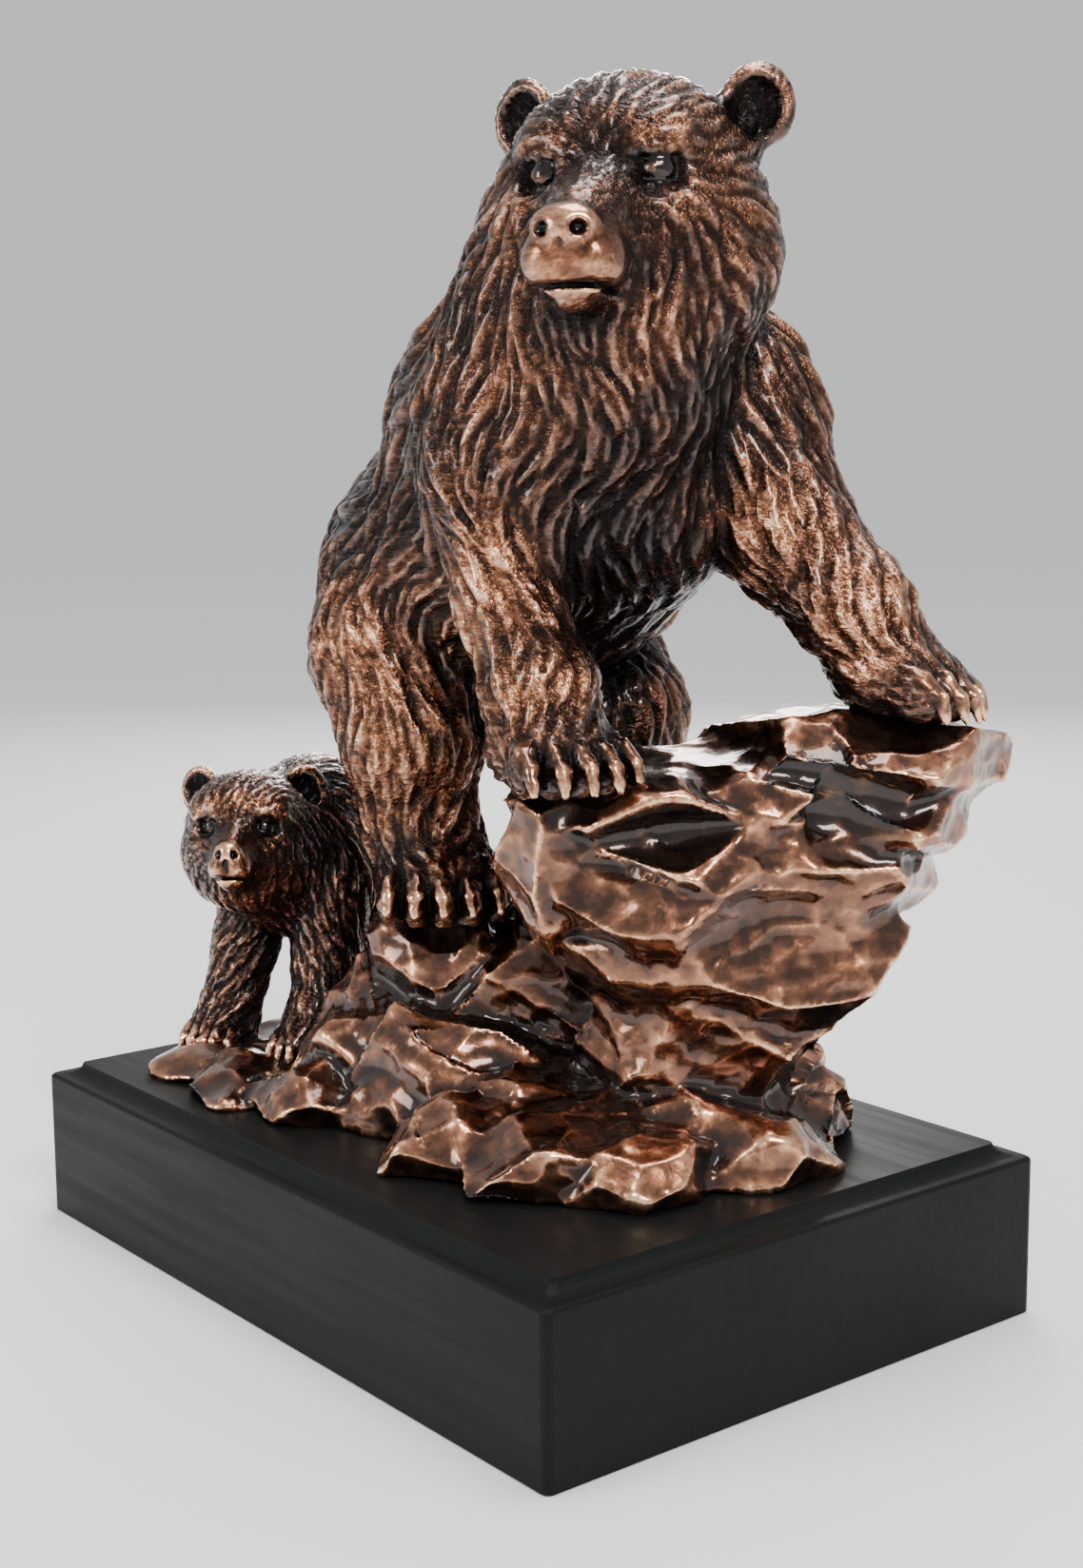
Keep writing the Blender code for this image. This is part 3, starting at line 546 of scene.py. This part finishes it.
def lock_lines(clay, points, length, spacing, seed):
    """Lines of joints laid along the surface, one for each lock, with their normals and sizes."""
    dice = random.Random(seed)
    coat = clay.sample(points, clay.coat)
    haired = np.flatnonzero(coat > LEAST_COAT)
    roots = haired[spaced_out(points[haired], spacing * coat[haired], dice)]
    size = coat[roots] * np.array([dice.uniform(0.8, 1.2) for _ in roots])
    turn = np.array([dice.gauss(0.0, 0.12) for _ in roots])
    curl = np.array([dice.uniform(-0.10, 0.10) for _ in roots])
    place = points[roots]
    lines, normals = [], []
    for joint in range(LOCK_JOINTS):
        out = clay.normals(place)
        place = place - out * clay.sample(place, clay.field)[:, None]
        lines.append(place)
        normals.append(out)
        lie = in_tangent(clay.sample(place, clay.comb), out)
        angle = (turn + curl * joint + waviness(place))[:, None]
        way = lie * np.cos(angle) + np.cross(out, lie) * np.sin(angle)
        place = place + way * (length * size / (LOCK_JOINTS - 1.0))[:, None]
    return np.stack(lines, axis=1), np.stack(normals, axis=1), size


class Cells:
    """Points sorted into cubes, to find all those near many places at once."""

    def __init__(self, points, size):
        self.size = size
        self.low = points.min(axis=0) - 2.0 * size
        self.counts = ((points.max(axis=0) + 3.0 * size - self.low) / size).astype(int)
        cell = self.number(points)
        self.order = np.argsort(cell, kind="stable")
        self.first = np.searchsorted(cell[self.order], np.arange(self.counts.prod() + 1))

    def number(self, points):
        """The number of the cube that each point is in."""
        home = np.clip(((points - self.low) / self.size).astype(int), 0, self.counts - 1)
        return (home[:, 0] * self.counts[1] + home[:, 1]) * self.counts[2] + home[:, 2]

    def near(self, places):
        """Pairs of a point and a place, for all points in the cubes round each place."""
        some_points, some_places = [], []
        for a in (-1, 0, 1):
            for b in (-1, 0, 1):
                for c in (-1, 0, 1):
                    cell = self.number(places + np.array((a, b, c)) * self.size)
                    start, count = self.first[cell], self.first[cell + 1] - self.first[cell]
                    which = np.repeat(np.arange(len(places)), count)
                    step = np.arange(len(which)) - np.repeat(np.cumsum(count) - count, count)
                    some_points.append(self.order[np.repeat(start, count) + step])
                    some_places.append(which)
        return np.concatenate(some_points), np.concatenate(some_places)


def lock_height(off, along, normals, share, runs, width):
    """The height of locks over points, as a share of their greatest, from one run of each lock."""
    t = np.clip((off * along).sum(1) / (along * along).sum(1), 0.0, 1.0)
    off = off - t[:, None] * along
    rise = (off * normals).sum(1)
    away = np.linalg.norm(off - rise[:, None] * normals, axis=1)
    share = share + t / runs
    reach = width / 2.0 * np.minimum(1.0, 0.45 + 2.2 * share) * (1.0 - share ** 2.5)
    across = np.clip(1.0 - (away / np.maximum(reach, 0.05)) ** 2, 0.0, 1.0)
    swell = np.minimum(1.0, 0.40 + 1.2 * share) * np.clip((1.0 - share) * 2.6, 0.0, 1.0)
    return across * swell * (np.abs(rise) < width * 1.5)


def locks(clay, points, length, width, height, spacing, seed):
    """How far each point of the surface is raised by the locks of hair over it."""
    lines, normals, sizes = lock_lines(clay, points, length, spacing, seed)
    runs = LOCK_JOINTS - 1
    starts = lines[:, :-1].reshape(-1, 3)
    along = (lines[:, 1:] - lines[:, :-1]).reshape(-1, 3)
    normals = normals[:, :-1].reshape(-1, 3)
    share = np.tile(np.arange(runs) / runs, len(lines))
    sizes = np.repeat(sizes, runs)
    cells = Cells(points, (length / runs / 2.0 + width / 2.0) * sizes.max())
    relief = np.zeros(len(points))
    batch = 1500
    for first in range(0, len(starts), batch):
        part = slice(first, first + batch)
        point, run = cells.near((starts + along / 2.0)[part])
        off = points[point] - starts[part][run]
        size = sizes[part][run]
        rise = lock_height(off, along[part][run], normals[part][run], share[part][run], runs, width * size)
        np.maximum.at(relief, point, rise * height * size)
    return relief


def facets(points, spacing, depth, seed):
    """How far each point is from a surface broken into scooped facets with sharp ridges."""
    dice = random.Random(seed)
    flat = points * (1.0, 1.0, 1.6)
    seeds = spaced_out(flat, np.full(len(flat), spacing), dice)
    tree = KDTree(len(flat))
    for i, p in enumerate(flat):
        tree.insert(p, i)
    tree.balance()
    relief = np.full(len(points), depth * 3.0)
    for k in seeds:
        near = tree.find_range(flat[k], spacing * 2.0)
        ids = np.array([i for _, i, _ in near])
        tilt = np.array([dice.gauss(0.0, 1.0) for _ in range(3)]) * depth / spacing * 0.9
        off = flat[ids] - flat[k]
        rise = off @ tilt + (off ** 2).sum(axis=1) * depth / spacing ** 2 + dice.uniform(-0.5, 0.5) * depth
        relief[ids] = np.minimum(relief[ids], rise)
    return relief


def mesh_normals(mesh):
    """The mesh's vertex normals."""
    normals = np.empty(len(mesh.vertices) * 3, np.float32)
    mesh.vertex_normals.foreach_get("vector", normals)
    return normals.reshape(-1, 3)


def mesh_points(mesh):
    """The mesh's vertices, in metres."""
    points = np.empty(len(mesh.vertices) * 3, np.float32)
    mesh.vertices.foreach_get("co", points)
    return points.reshape(-1, 3).astype(float)


def mesh_edges(mesh):
    """The mesh's edges, as pairs of vertex numbers."""
    edges = np.empty(len(mesh.edges) * 2, np.int32)
    mesh.edges.foreach_get("vertices", edges)
    return edges.reshape(-1, 2)


def bend(mesh):
    """How sharply the surface bends outward at each vertex, in 1 / mm."""
    points, normals, edges = mesh_points(mesh) * 1000.0, mesh_normals(mesh), mesh_edges(mesh)
    total = np.zeros(len(points))
    count = np.zeros(len(points))
    for a, b in ((0, 1), (1, 0)):
        i, j = edges[:, a], edges[:, b]
        off = points[i] - points[j]
        sharp = (off * normals[i]).sum(axis=1) / np.maximum((off ** 2).sum(axis=1), 1e-3)
        np.add.at(total, i, sharp)
        np.add.at(count, i, 1.0)
    return total / np.maximum(count, 1.0)


def softened(mesh, values, rounds):
    """The values evened out along the mesh's edges."""
    edges = mesh_edges(mesh)
    for _ in range(rounds):
        total = values.copy()
        count = np.ones(len(values))
        for a, b in ((0, 1), (1, 0)):
            np.add.at(total, edges[:, a], values[edges[:, b]])
            np.add.at(count, edges[:, a], 1.0)
        values = total / count
    return values


def store(mesh, name, values):
    """Keeps a number for each vertex under a name that the materials read."""
    kept = mesh.attributes.new(name, "FLOAT", "POINT")
    kept.data.foreach_set("value", np.asarray(values, np.float32))


def store_colour(mesh, name, values):
    """Keeps four numbers for each vertex under a name that the materials read."""
    kept = mesh.attributes.new(name, "FLOAT_COLOR", "POINT")
    kept.data.foreach_set("color", np.asarray(values, np.float32).ravel())


def body_only(points, quads):
    """The faces of the largest body, with their points numbered afresh."""
    label = np.arange(len(points))
    while True:
        low = label[quads].min(axis=1)
        fresh = label.copy()
        for corner in range(4):
            np.minimum.at(fresh, quads[:, corner], low)
        fresh = fresh[fresh]
        if (fresh == label).all():
            break
        label = fresh
    names, sizes = np.unique(label, return_counts=True)
    keep = label == names[sizes.argmax()]
    number = np.cumsum(keep) - 1
    return points[keep], number[quads[keep[quads[:, 0]]]]


def in_metres(points):
    """Places laid out in units, in the frame's metres."""
    return points * UNIT + (0.0, 0.0, SEAT)


def in_units(points):
    """The frame's metres, in the units that the forms are laid out in."""
    return (points - (0.0, 0.0, SEAT)) / UNIT


def modelled(name, form, low, high, step, raise_surface, most_triangles, whole):
    """A piece of the casting: its form, the relief on its surface, and the values its finish needs."""
    clay = Clay(low, high, step)
    form(clay)
    clay.cut_below(0.0)
    points, quads = body_only(*clay.surface())
    mesh = bpy.data.meshes.new(name)
    mesh.from_pydata(in_metres(raise_surface(clay, points)).tolist(), [], quads.tolist())
    obj = bpy.data.objects.new(name, mesh)
    bpy.context.scene.collection.objects.link(obj)
    thin = obj.modifiers.new("fewer faces", "DECIMATE")
    thin.ratio = min(1.0, most_triangles / (2.0 * len(quads)))
    depsgraph = bpy.context.evaluated_depsgraph_get()
    obj.data = bpy.data.meshes.new_from_object(obj.evaluated_get(depsgraph))
    obj.modifiers.clear()
    bpy.data.meshes.remove(mesh)
    mesh = obj.data
    mesh.name = name
    mesh.shade_smooth()
    finish_values(mesh, clay, whole)
    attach(obj, "root")
    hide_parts("bear_casting")
    return obj


# The main ways in which the hair lies, that its streaks are drawn out along
LIES = np.array([(0.0, 0.0, 1.0), (-0.76, 0.0, -0.65), (0.8, 0.2, -0.6), (0.52, -0.85, 0.0)])


def painted_light_and_rub_spots():
    """Bars of space where the metal is painted lighter or darker: ends, radius and change. The legs, brows
    and lower lids get painted highlights. The chest, belly, eye sockets and ear hollows get painted shade.
    The muzzle is rubbed lighter, and a band along the back is darker.
    """
    right, left = RIGHT_FORELEG, LEFT_FORELEG
    spots = [
        # Painted highlights down the forelegs and the right hind leg
        (right[0], right[1], 24, 0.16),
        (right[1], right[2], 22, 0.22),
        (left[0], left[1], 26, 0.08),
        (left[1], left[2], 24, 0.20),
        ((-30, -26, 138), (-18, -24, 96), 22, 0.18),
        # Painted shade in the chest between the forelegs and under the belly, then a darker band along the
        # back
        ((48, 8, 146), (52, 8, 204), 27, -0.42),
        ((0, 14, 128), (34, 14, 142), 30, -0.30),
        ((-60, 0, 160), (0, -24, 190), 34, -0.10),
    ]
    for pose, cub in ((MOTHER_POSE, 0.0), (CUB_POSE, 1.0)):
        # The muzzle rubbed lighter
        spots.append((pose.at(36, 0, -15), pose.at(48, 0, -18), 15 * pose.size, 0.14))
        for side in (-1, 1):
            forward, left, rise = eye_place(side, cub)
            eye_at, ear_at = pose.at(forward, left, rise), pose.at(*ear_place(side, cub))
            # Painted shade in each eye socket
            spots.append((eye_at, eye_at, 5.0 * pose.size, -0.4))
            # Painted highlights along the brow above each eye and the lower lid below it
            for lid, light in ((7.6, 0.32), (-7.2, 0.25)):
                inner = pose.at(forward + 3, left - 4 * side, rise + lid)
                outer = pose.at(forward, left + 4 * side, rise + lid)
                spots.append((inner, outer, 4.5 * pose.size, light))
            # Painted shade in the hollow of each ear
            spots.append((ear_at, ear_at, 12 * pose.size, -0.16))
    return spots


def painted_light_and_rub(points):
    """How much lighter or darker the metal is painted at each point than its relief alone makes it: painted
    highlights and shade, and the muzzle's rubbing.
    """
    total = np.zeros(len(points))
    for a, b, radius, change in painted_light_and_rub_spots():
        off = Rod(a, b, 0.0, 0.0).distance(points)
        total += change * np.clip(1.0 - (off / radius) ** 2, 0.0, 1.0) ** 0.7
    return total


def rough_clay():
    """The whole casting in coarse clay, to tell exposed places from sheltered ones, which get painted
    shade.
    """
    clay = Clay((-136, -92, -12), (146, 110, 306), step=3.0, reach=24.0)
    for form in (rock, mother, cub):
        form(clay)
    return clay


# How far out from the surface the room round it is felt, for the painted shade in sheltered places, in
# units
FEELERS = (6.0, 12.0, 20.0)


def finish_values(mesh, clay, whole):
    """What the finish reads: worn edges, how exposed each face is for the painted shade, polish, eyes,
    painted highlights and shade in spots, and the way the hair lies.
    """
    points, normals = in_units(mesh_points(mesh)), mesh_normals(mesh)
    sharp = bend(mesh)
    fine = softened(mesh, sharp, 1)
    broad = softened(mesh, sharp, 8)
    store(mesh, "ridge", fine)
    store(mesh, "form", broad)
    even = np.stack([softened(mesh, normals[:, i].astype(float), 12) for i in range(3)], axis=1)
    # Painted shade: the less room there is round a point, the darker the metal is drawn there
    painted_shade_room = [np.clip(whole.sample(points + even * d, whole.field) / d, 0.0, 1.0) for d in FEELERS]
    store(mesh, "open", softened(mesh, sum(painted_shade_room) / len(FEELERS), 2))
    coat = clay.sample(points, clay.coat)
    store(mesh, "polish", np.clip(-coat, 0.0, 1.0))
    store(mesh, "hair", np.clip(coat * 4.0, 0.0, 1.0))
    eye = np.zeros(len(points))
    for pose, cub in ((MOTHER_POSE, 0.0), (CUB_POSE, 1.0)):
        for side in (-1, 1):
            off = np.linalg.norm(points - pose.at(*eye_place(side, cub)), axis=1) / pose.size
            eye = np.maximum(eye, np.clip((EYE_RADIUS + 0.9 - off) / 0.5, 0.0, 1.0))
    store(mesh, "eye", eye)
    store(mesh, "painted_light_and_rub", painted_light_and_rub(points))
    lie = in_tangent(clay.sample(points, clay.comb), normals)
    likeness = []
    for way in LIES:
        flat = in_tangent(np.tile(unit(way), (len(points), 1)), normals)
        likeness.append(np.abs((flat * lie).sum(1)))
    weights = np.stack(likeness, axis=1) ** 10 + 1e-4
    store_colour(mesh, "lie", weights / weights.sum(axis=1)[:, None])


def hairy(clay, points):
    """The surface raised by large locks, and those by small ones."""
    relief = locks(clay, points, **SHAG)
    points = points + clay.normals(points) * relief[:, None]
    relief = locks(clay, points, **HAIR)
    return points + clay.normals(points) * relief[:, None]


# The rock's facets, large and small, and how deep and high they may go, in units
LARGE_FACETS = dict(spacing=15.0, depth=1.7, seed=5)
SMALL_FACETS = dict(spacing=6.5, depth=0.45, seed=6)
FACET_RANGE = (-3.5, 2.0)


def rocky(clay, points):
    """The surface broken into facets, large and small."""
    normals = clay.normals(points)
    relief = facets(points, **LARGE_FACETS) + facets(points, **SMALL_FACETS)
    return points + normals * np.clip(relief, *FACET_RANGE)[:, None]


class Nodes:
    """A material's node tree, built a node at a time."""

    def __init__(self, name):
        self.material = bpy.data.materials.new(name)
        self.material.use_nodes = True
        self.tree = self.material.node_tree
        self.shader = self.tree.nodes["Principled BSDF"]

    def set(self, socket, value):
        """Links or sets one of the shader's own sockets."""
        self.join(value, self.shader.inputs[socket])

    def join(self, value, socket):
        """Links a socket to another, or sets it to a value."""
        if isinstance(value, bpy.types.NodeSocket):
            self.tree.links.new(value, socket)
        else:
            socket.default_value = value

    def add(self, kind, inputs, out=0, **settings):
        """A new node with its inputs linked or set. Gives back one of its outputs."""
        node = self.tree.nodes.new(kind)
        for key, value in settings.items():
            setattr(node, key, value)
        for key, value in inputs.items():
            self.join(value, node.inputs[key])
        return node.outputs[out]

    def math(self, operation, a, b=0.0, clamp=False):
        """Two values worked out into one."""
        return self.add("ShaderNodeMath", {0: a, 1: b}, operation=operation, use_clamp=clamp)

    def attribute(self, name, out="Fac"):
        """A value kept on the mesh under this name."""
        return self.add("ShaderNodeAttribute", {}, out, attribute_name=name)

    def span(self, value, low, high, to_low=0.0, to_high=1.0):
        """The value, with low to high stretched over the given range and held at its ends."""
        inputs = {"Value": value, "From Min": low, "From Max": high, "To Min": to_low, "To Max": to_high}
        return self.add("ShaderNodeMapRange", inputs, interpolation_type="SMOOTHSTEP")

    def noise(self, where, scale, detail=3.0, rough=0.55):
        """Smooth noise, from 0 to 1."""
        inputs = {"Vector": where, "Scale": scale, "Detail": detail, "Roughness": rough}
        return self.add("ShaderNodeTexNoise", inputs)

    def ramp(self, value, stops):
        """A colour for the value, from stops of place and colour."""
        node = self.tree.nodes.new("ShaderNodeValToRGB")
        self.join(value, node.inputs[0])
        places = node.color_ramp.elements
        while len(places) < len(stops):
            places.new(0.5)
        for place, (at, colour) in zip(places, stops):
            place.position = at
            place.color = (*colour, 1.0)
        return node.outputs[0]

    def bump(self, height, strength, distance, normal=None):
        """The surface's normal as bent by the slopes of the height."""
        inputs = {"Height": height, "Strength": strength, "Distance": distance}
        if normal is not None:
            inputs["Normal"] = normal
        return self.add("ShaderNodeBump", inputs)


# The metal's colours from the dark patina in the hollows to the copper on the worn ridges
PATINA = (
    (0.0, (0.0062, 0.0048, 0.0047)),
    (0.30, (0.025, 0.0140, 0.0110)),
    (0.50, (0.085, 0.037, 0.022)),
    (0.68, (0.24, 0.097, 0.050)),
    (0.85, (0.56, 0.26, 0.14)),
    (1.0, (0.92, 0.56, 0.33)),
)


def strands(nodes, where):
    """Fine streaks along the hair: noise drawn out along each of the main ways that it lies."""
    weights = nodes.attribute("lie", "Color")
    parts = nodes.tree.nodes.new("ShaderNodeSeparateColor")
    nodes.join(weights, parts.inputs[0])
    last = nodes.attribute("lie", "Alpha")
    total = None
    for way, weight in zip(LIES, (*parts.outputs, last)):
        turn = Matrix(axes_of(way, (0.3, 0.9, 0.2)).tolist()).to_euler()
        inputs = {"Vector": where, "Rotation": tuple(turn), "Scale": (0.10, 1.0, 1.0)}
        drawn = nodes.add("ShaderNodeMapping", inputs, vector_type="POINT")
        streak = nodes.math("MULTIPLY", nodes.noise(drawn, 900.0, 2.0), weight)
        total = streak if total is None else nodes.math("ADD", total, streak)
    return total


def weighed(nodes, values, weights, base):
    """The base, and each of the named values times its weight, added up."""
    total = base
    for name, weight in weights.items():
        inputs = {0: values[name], 1: weight, 2: total}
        total = nodes.add("ShaderNodeMath", inputs, operation="MULTIPLY_ADD")
    return total


# How much each value lightens the metal, on top of its base, from dark patina to bare copper. The value for
# open places paints shade darker into sheltered ones. Apart from the muzzle's rubbing, the spots on the
# coat paint highlights and shade.
COAT_RUB = dict(ridge=1.8, form=2.0, open=0.28, cloud=0.9, mottle=0.35, streak=0.7, polish=0.18, painted_light_and_rub=1.0)
COAT_BASE = -0.83
ROCK_RUB = dict(ridge=1.9, form=0.7, open=0.22, cloud=0.6, mottle=0.6)
ROCK_BASE = -0.19

# The lacquer over the coat runs from none to full between these bends, and is even over the rock
COAT_GLOSS_RIDGES = (-0.02, 0.10)
ROCK_GLOSS = 0.75


def copper(name, haired):
    """Rubbed copper over a dark patina, with shade painted darker into sheltered places and, on the coat,
    painted highlights and shade in spots, under clear lacquer that is dull in the hollows.
    """
    nodes = Nodes(name)
    where = nodes.add("ShaderNodeTexCoord", {}, "Object")
    values = {
        "ridge": nodes.attribute("ridge"),
        "form": nodes.attribute("form"),
        # Painted shade: the metal is darker where other parts shelter the surface
        "open": nodes.span(nodes.attribute("open"), 0.35, 1.0),
        "cloud": nodes.noise(where, 38.0, 4.0),
        "mottle": nodes.noise(where, 190.0, 3.0),
        "polish": nodes.attribute("polish"),
    }
    if haired:
        values["streak"] = strands(nodes, where)
        # Painted highlights and painted shade in spots, and the muzzle rubbed lighter
        values["painted_light_and_rub"] = nodes.attribute("painted_light_and_rub")
        rub = weighed(nodes, values, COAT_RUB, COAT_BASE)
        gloss = nodes.span(values["ridge"], *COAT_GLOSS_RIDGES)
    else:
        rub = weighed(nodes, values, ROCK_RUB, ROCK_BASE)
        gloss = ROCK_GLOSS
    unlit = nodes.math("SUBTRACT", 1.0, nodes.attribute("eye"))
    rub = nodes.math("MULTIPLY", rub, unlit, clamp=True)
    smooth = nodes.math("ADD", nodes.attribute("eye"), values["polish"], clamp=True)
    gloss = nodes.math("MAXIMUM", gloss, smooth)
    nodes.set("Base Color", nodes.ramp(rub, PATINA))
    nodes.set("Metallic", nodes.span(rub, 0.1, 0.5, 0.55, 1.0))
    rough = nodes.math("MULTIPLY", nodes.span(values["mottle"], 0.3, 0.7, 0.16, 0.28), unlit)
    nodes.set("Roughness", nodes.math("ADD", rough, 0.03))
    nodes.set("Coat Weight", gloss)
    nodes.set("Coat Roughness", 0.06)
    nodes.set("Specular IOR Level", 0.1)
    grain = nodes.bump(nodes.noise(where, 700.0, 2.0), 0.14, 0.0004)
    if haired:
        depth = nodes.math("MULTIPLY", nodes.attribute("hair"), 0.7)
        grain = nodes.bump(values["streak"], depth, 0.0014, grain)
    nodes.set("Normal", grain)
    return nodes.material


LACQUER_SHADES = (
    (0.3, (0.0042, 0.0048, 0.0048)),
    (0.7, (0.0068, 0.0076, 0.0076)),
)


def lacquer():
    """Black satin lacquer over wood, with a faint grain."""
    nodes = Nodes("black_lacquer")
    where = nodes.add("ShaderNodeTexCoord", {}, "Object")
    drawn = nodes.add("ShaderNodeMapping", {"Vector": where, "Scale": (0.06, 1.0, 1.0)})
    grain = nodes.noise(drawn, 260.0, 3.0)
    cloud = nodes.noise(where, 16.0, 2.0)
    nodes.set("Base Color", nodes.ramp(cloud, LACQUER_SHADES))
    nodes.set("Roughness", nodes.span(grain, 0.3, 0.7, 0.40, 0.50))
    nodes.set("Specular IOR Level", 0.10)
    nodes.set("Normal", nodes.bump(grain, 0.10, 0.0003))
    return nodes.material


def floor_finish():
    """A plain pale floor that runs out into the surround, so that no horizon shows."""
    nodes = Nodes("floor")
    where = nodes.add("ShaderNodeTexCoord", {}, "Object")
    cloud = nodes.noise(where, 3.0, 2.0)
    away = nodes.add("ShaderNodeVectorMath", {0: where}, "Value", operation="LENGTH")
    pale = nodes.span(away, 0.5, 3.0, 0.80, 1.0)
    inputs = {0: cloud, 1: 0.02, 2: pale}
    shade = nodes.add("ShaderNodeMath", inputs, operation="MULTIPLY_ADD", use_clamp=True)
    grey = {"Red": shade, "Green": shade, "Blue": shade}
    nodes.set("Base Color", nodes.add("ShaderNodeCombineColor", grey))
    nodes.set("Roughness", 0.8)
    nodes.set("Specular IOR Level", 0.1)
    return nodes.material


def statue():
    """The three parts of the casting and the plinth, each with its finish."""
    haired, bare = copper("rubbed_copper_coat", True), copper("rubbed_copper_rock", False)
    whole = rough_clay()
    pieces = (
        # name, form, corners and step of its clay, relief, most triangles, and finish
        ("mother_bear", mother, (-92, -66, 58), (128, 94, 296), 0.85, hairy, 194000, haired),
        ("cub_bear", cub, (-126, -70, -2), (-46, 40, 102), 0.55, hairy, 120000, haired),
        ("rock_base", rock, (-124, -74, -4), (134, 96, 132), 1.0, rocky, 180000, bare),
    )
    for name, form, low, high, step, raise_surface, most, finish in pieces:
        obj = modelled(name, form, low, high, step, raise_surface, most, whole)
        obj.data.materials.clear()
        obj.data.materials.append(finish)
    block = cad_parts["plinth"]
    block.data.materials.clear()
    block.data.materials.append(lacquer())


# In metres
FLOOR_RADIUS = 14.0
FLOOR_GAP = 0.0004


def floor():
    """The floor that the plinth stands on."""
    below = (0.0, 0.0, -FLOOR_GAP)
    bpy.ops.mesh.primitive_circle_add(vertices=96, radius=FLOOR_RADIUS, fill_type="NGON", location=below)
    ground = bpy.context.object
    ground.name = "floor"
    ground.data.materials.append(floor_finish())


LIGHTS_AIM = (0.0, 0.0, 0.18)
SURROUND_COLOUR = (0.93, 0.935, 0.94, 1.0)
SURROUND_STRENGTH = 0.75


def softbox(name, place, size, power, colour):
    """A soft area light that faces the statue: place and size in metres, power in watts."""
    data = bpy.data.lights.new(name, "AREA")
    data.shape = "RECTANGLE"
    data.size, data.size_y = size
    data.energy = power
    data.color = colour
    obj = bpy.data.objects.new(name, data)
    obj.location = place
    aim = np.array(LIGHTS_AIM) - np.array(place)
    back, side = unit(-aim), unit(np.cross(UP, -aim))
    axes = np.array([side, np.cross(back, side), back]).T
    obj.rotation_euler = Matrix(axes.tolist()).to_euler()
    bpy.context.scene.collection.objects.link(obj)


def lights():
    """Plain studio light: four soft boxes, in front, beside, above and behind, and a pale surround."""
    softbox("key", (1.0, -0.30, 0.95), (0.45, 0.35), 15.0, (1.0, 0.97, 0.94))
    softbox("fill", (-0.35, -1.2, 0.65), (0.4, 0.6), 8.0, (0.96, 0.98, 1.0))
    softbox("top", (0.0, 0.15, 1.3), (0.6, 0.6), 14.0, (1.0, 1.0, 1.0))
    softbox("back", (-0.9, 0.8, 0.7), (0.5, 0.5), 8.0, (1.0, 0.98, 0.96))
    world = bpy.data.worlds.new("surround")
    bpy.context.scene.world = world
    world.use_nodes = True
    background = world.node_tree.nodes["Background"]
    background.inputs["Color"].default_value = SURROUND_COLOUR
    background.inputs["Strength"].default_value = SURROUND_STRENGTH


# The camera, as the photograph's perspective gives it: angles in degrees, the lens in
# millimetres and distances in metres
CAMERA_AZIMUTH = 51.5
CAMERA_ELEVATION = 8.6
CAMERA_ROLL = -0.43
CAMERA_LENS = 49.33
CAMERA_BACK = 0.6487
CAMERA_RIGHT = 0.0099
CAMERA_RISE = 0.1422


def camera():
    """The camera at the photograph's viewing angle."""
    azimuth, elevation = math.radians(CAMERA_AZIMUTH), math.radians(CAMERA_ELEVATION)
    out = math.cos(elevation)
    back = np.array([math.sin(azimuth) * out, -math.cos(azimuth) * out, math.sin(elevation)])
    level = np.array([math.cos(azimuth), math.sin(azimuth), 0.0])
    raised = np.cross(back, level)
    roll = math.radians(CAMERA_ROLL)
    right = math.cos(roll) * level + math.sin(roll) * raised
    up = np.cross(back, right)
    place = back * CAMERA_BACK + right * CAMERA_RIGHT + up * CAMERA_RISE
    data = bpy.data.cameras.new("camera")
    data.lens = CAMERA_LENS
    data.sensor_fit = "AUTO"
    obj = bpy.data.objects.new("camera", data)
    bpy.context.scene.collection.objects.link(obj)
    rows = [[right[i], up[i], back[i], place[i]] for i in range(3)]
    obj.matrix_world = Matrix([*rows, [0.0, 0.0, 0.0, 1.0]])
    bpy.context.scene.camera = obj


camera()
lights()
floor()
statue()
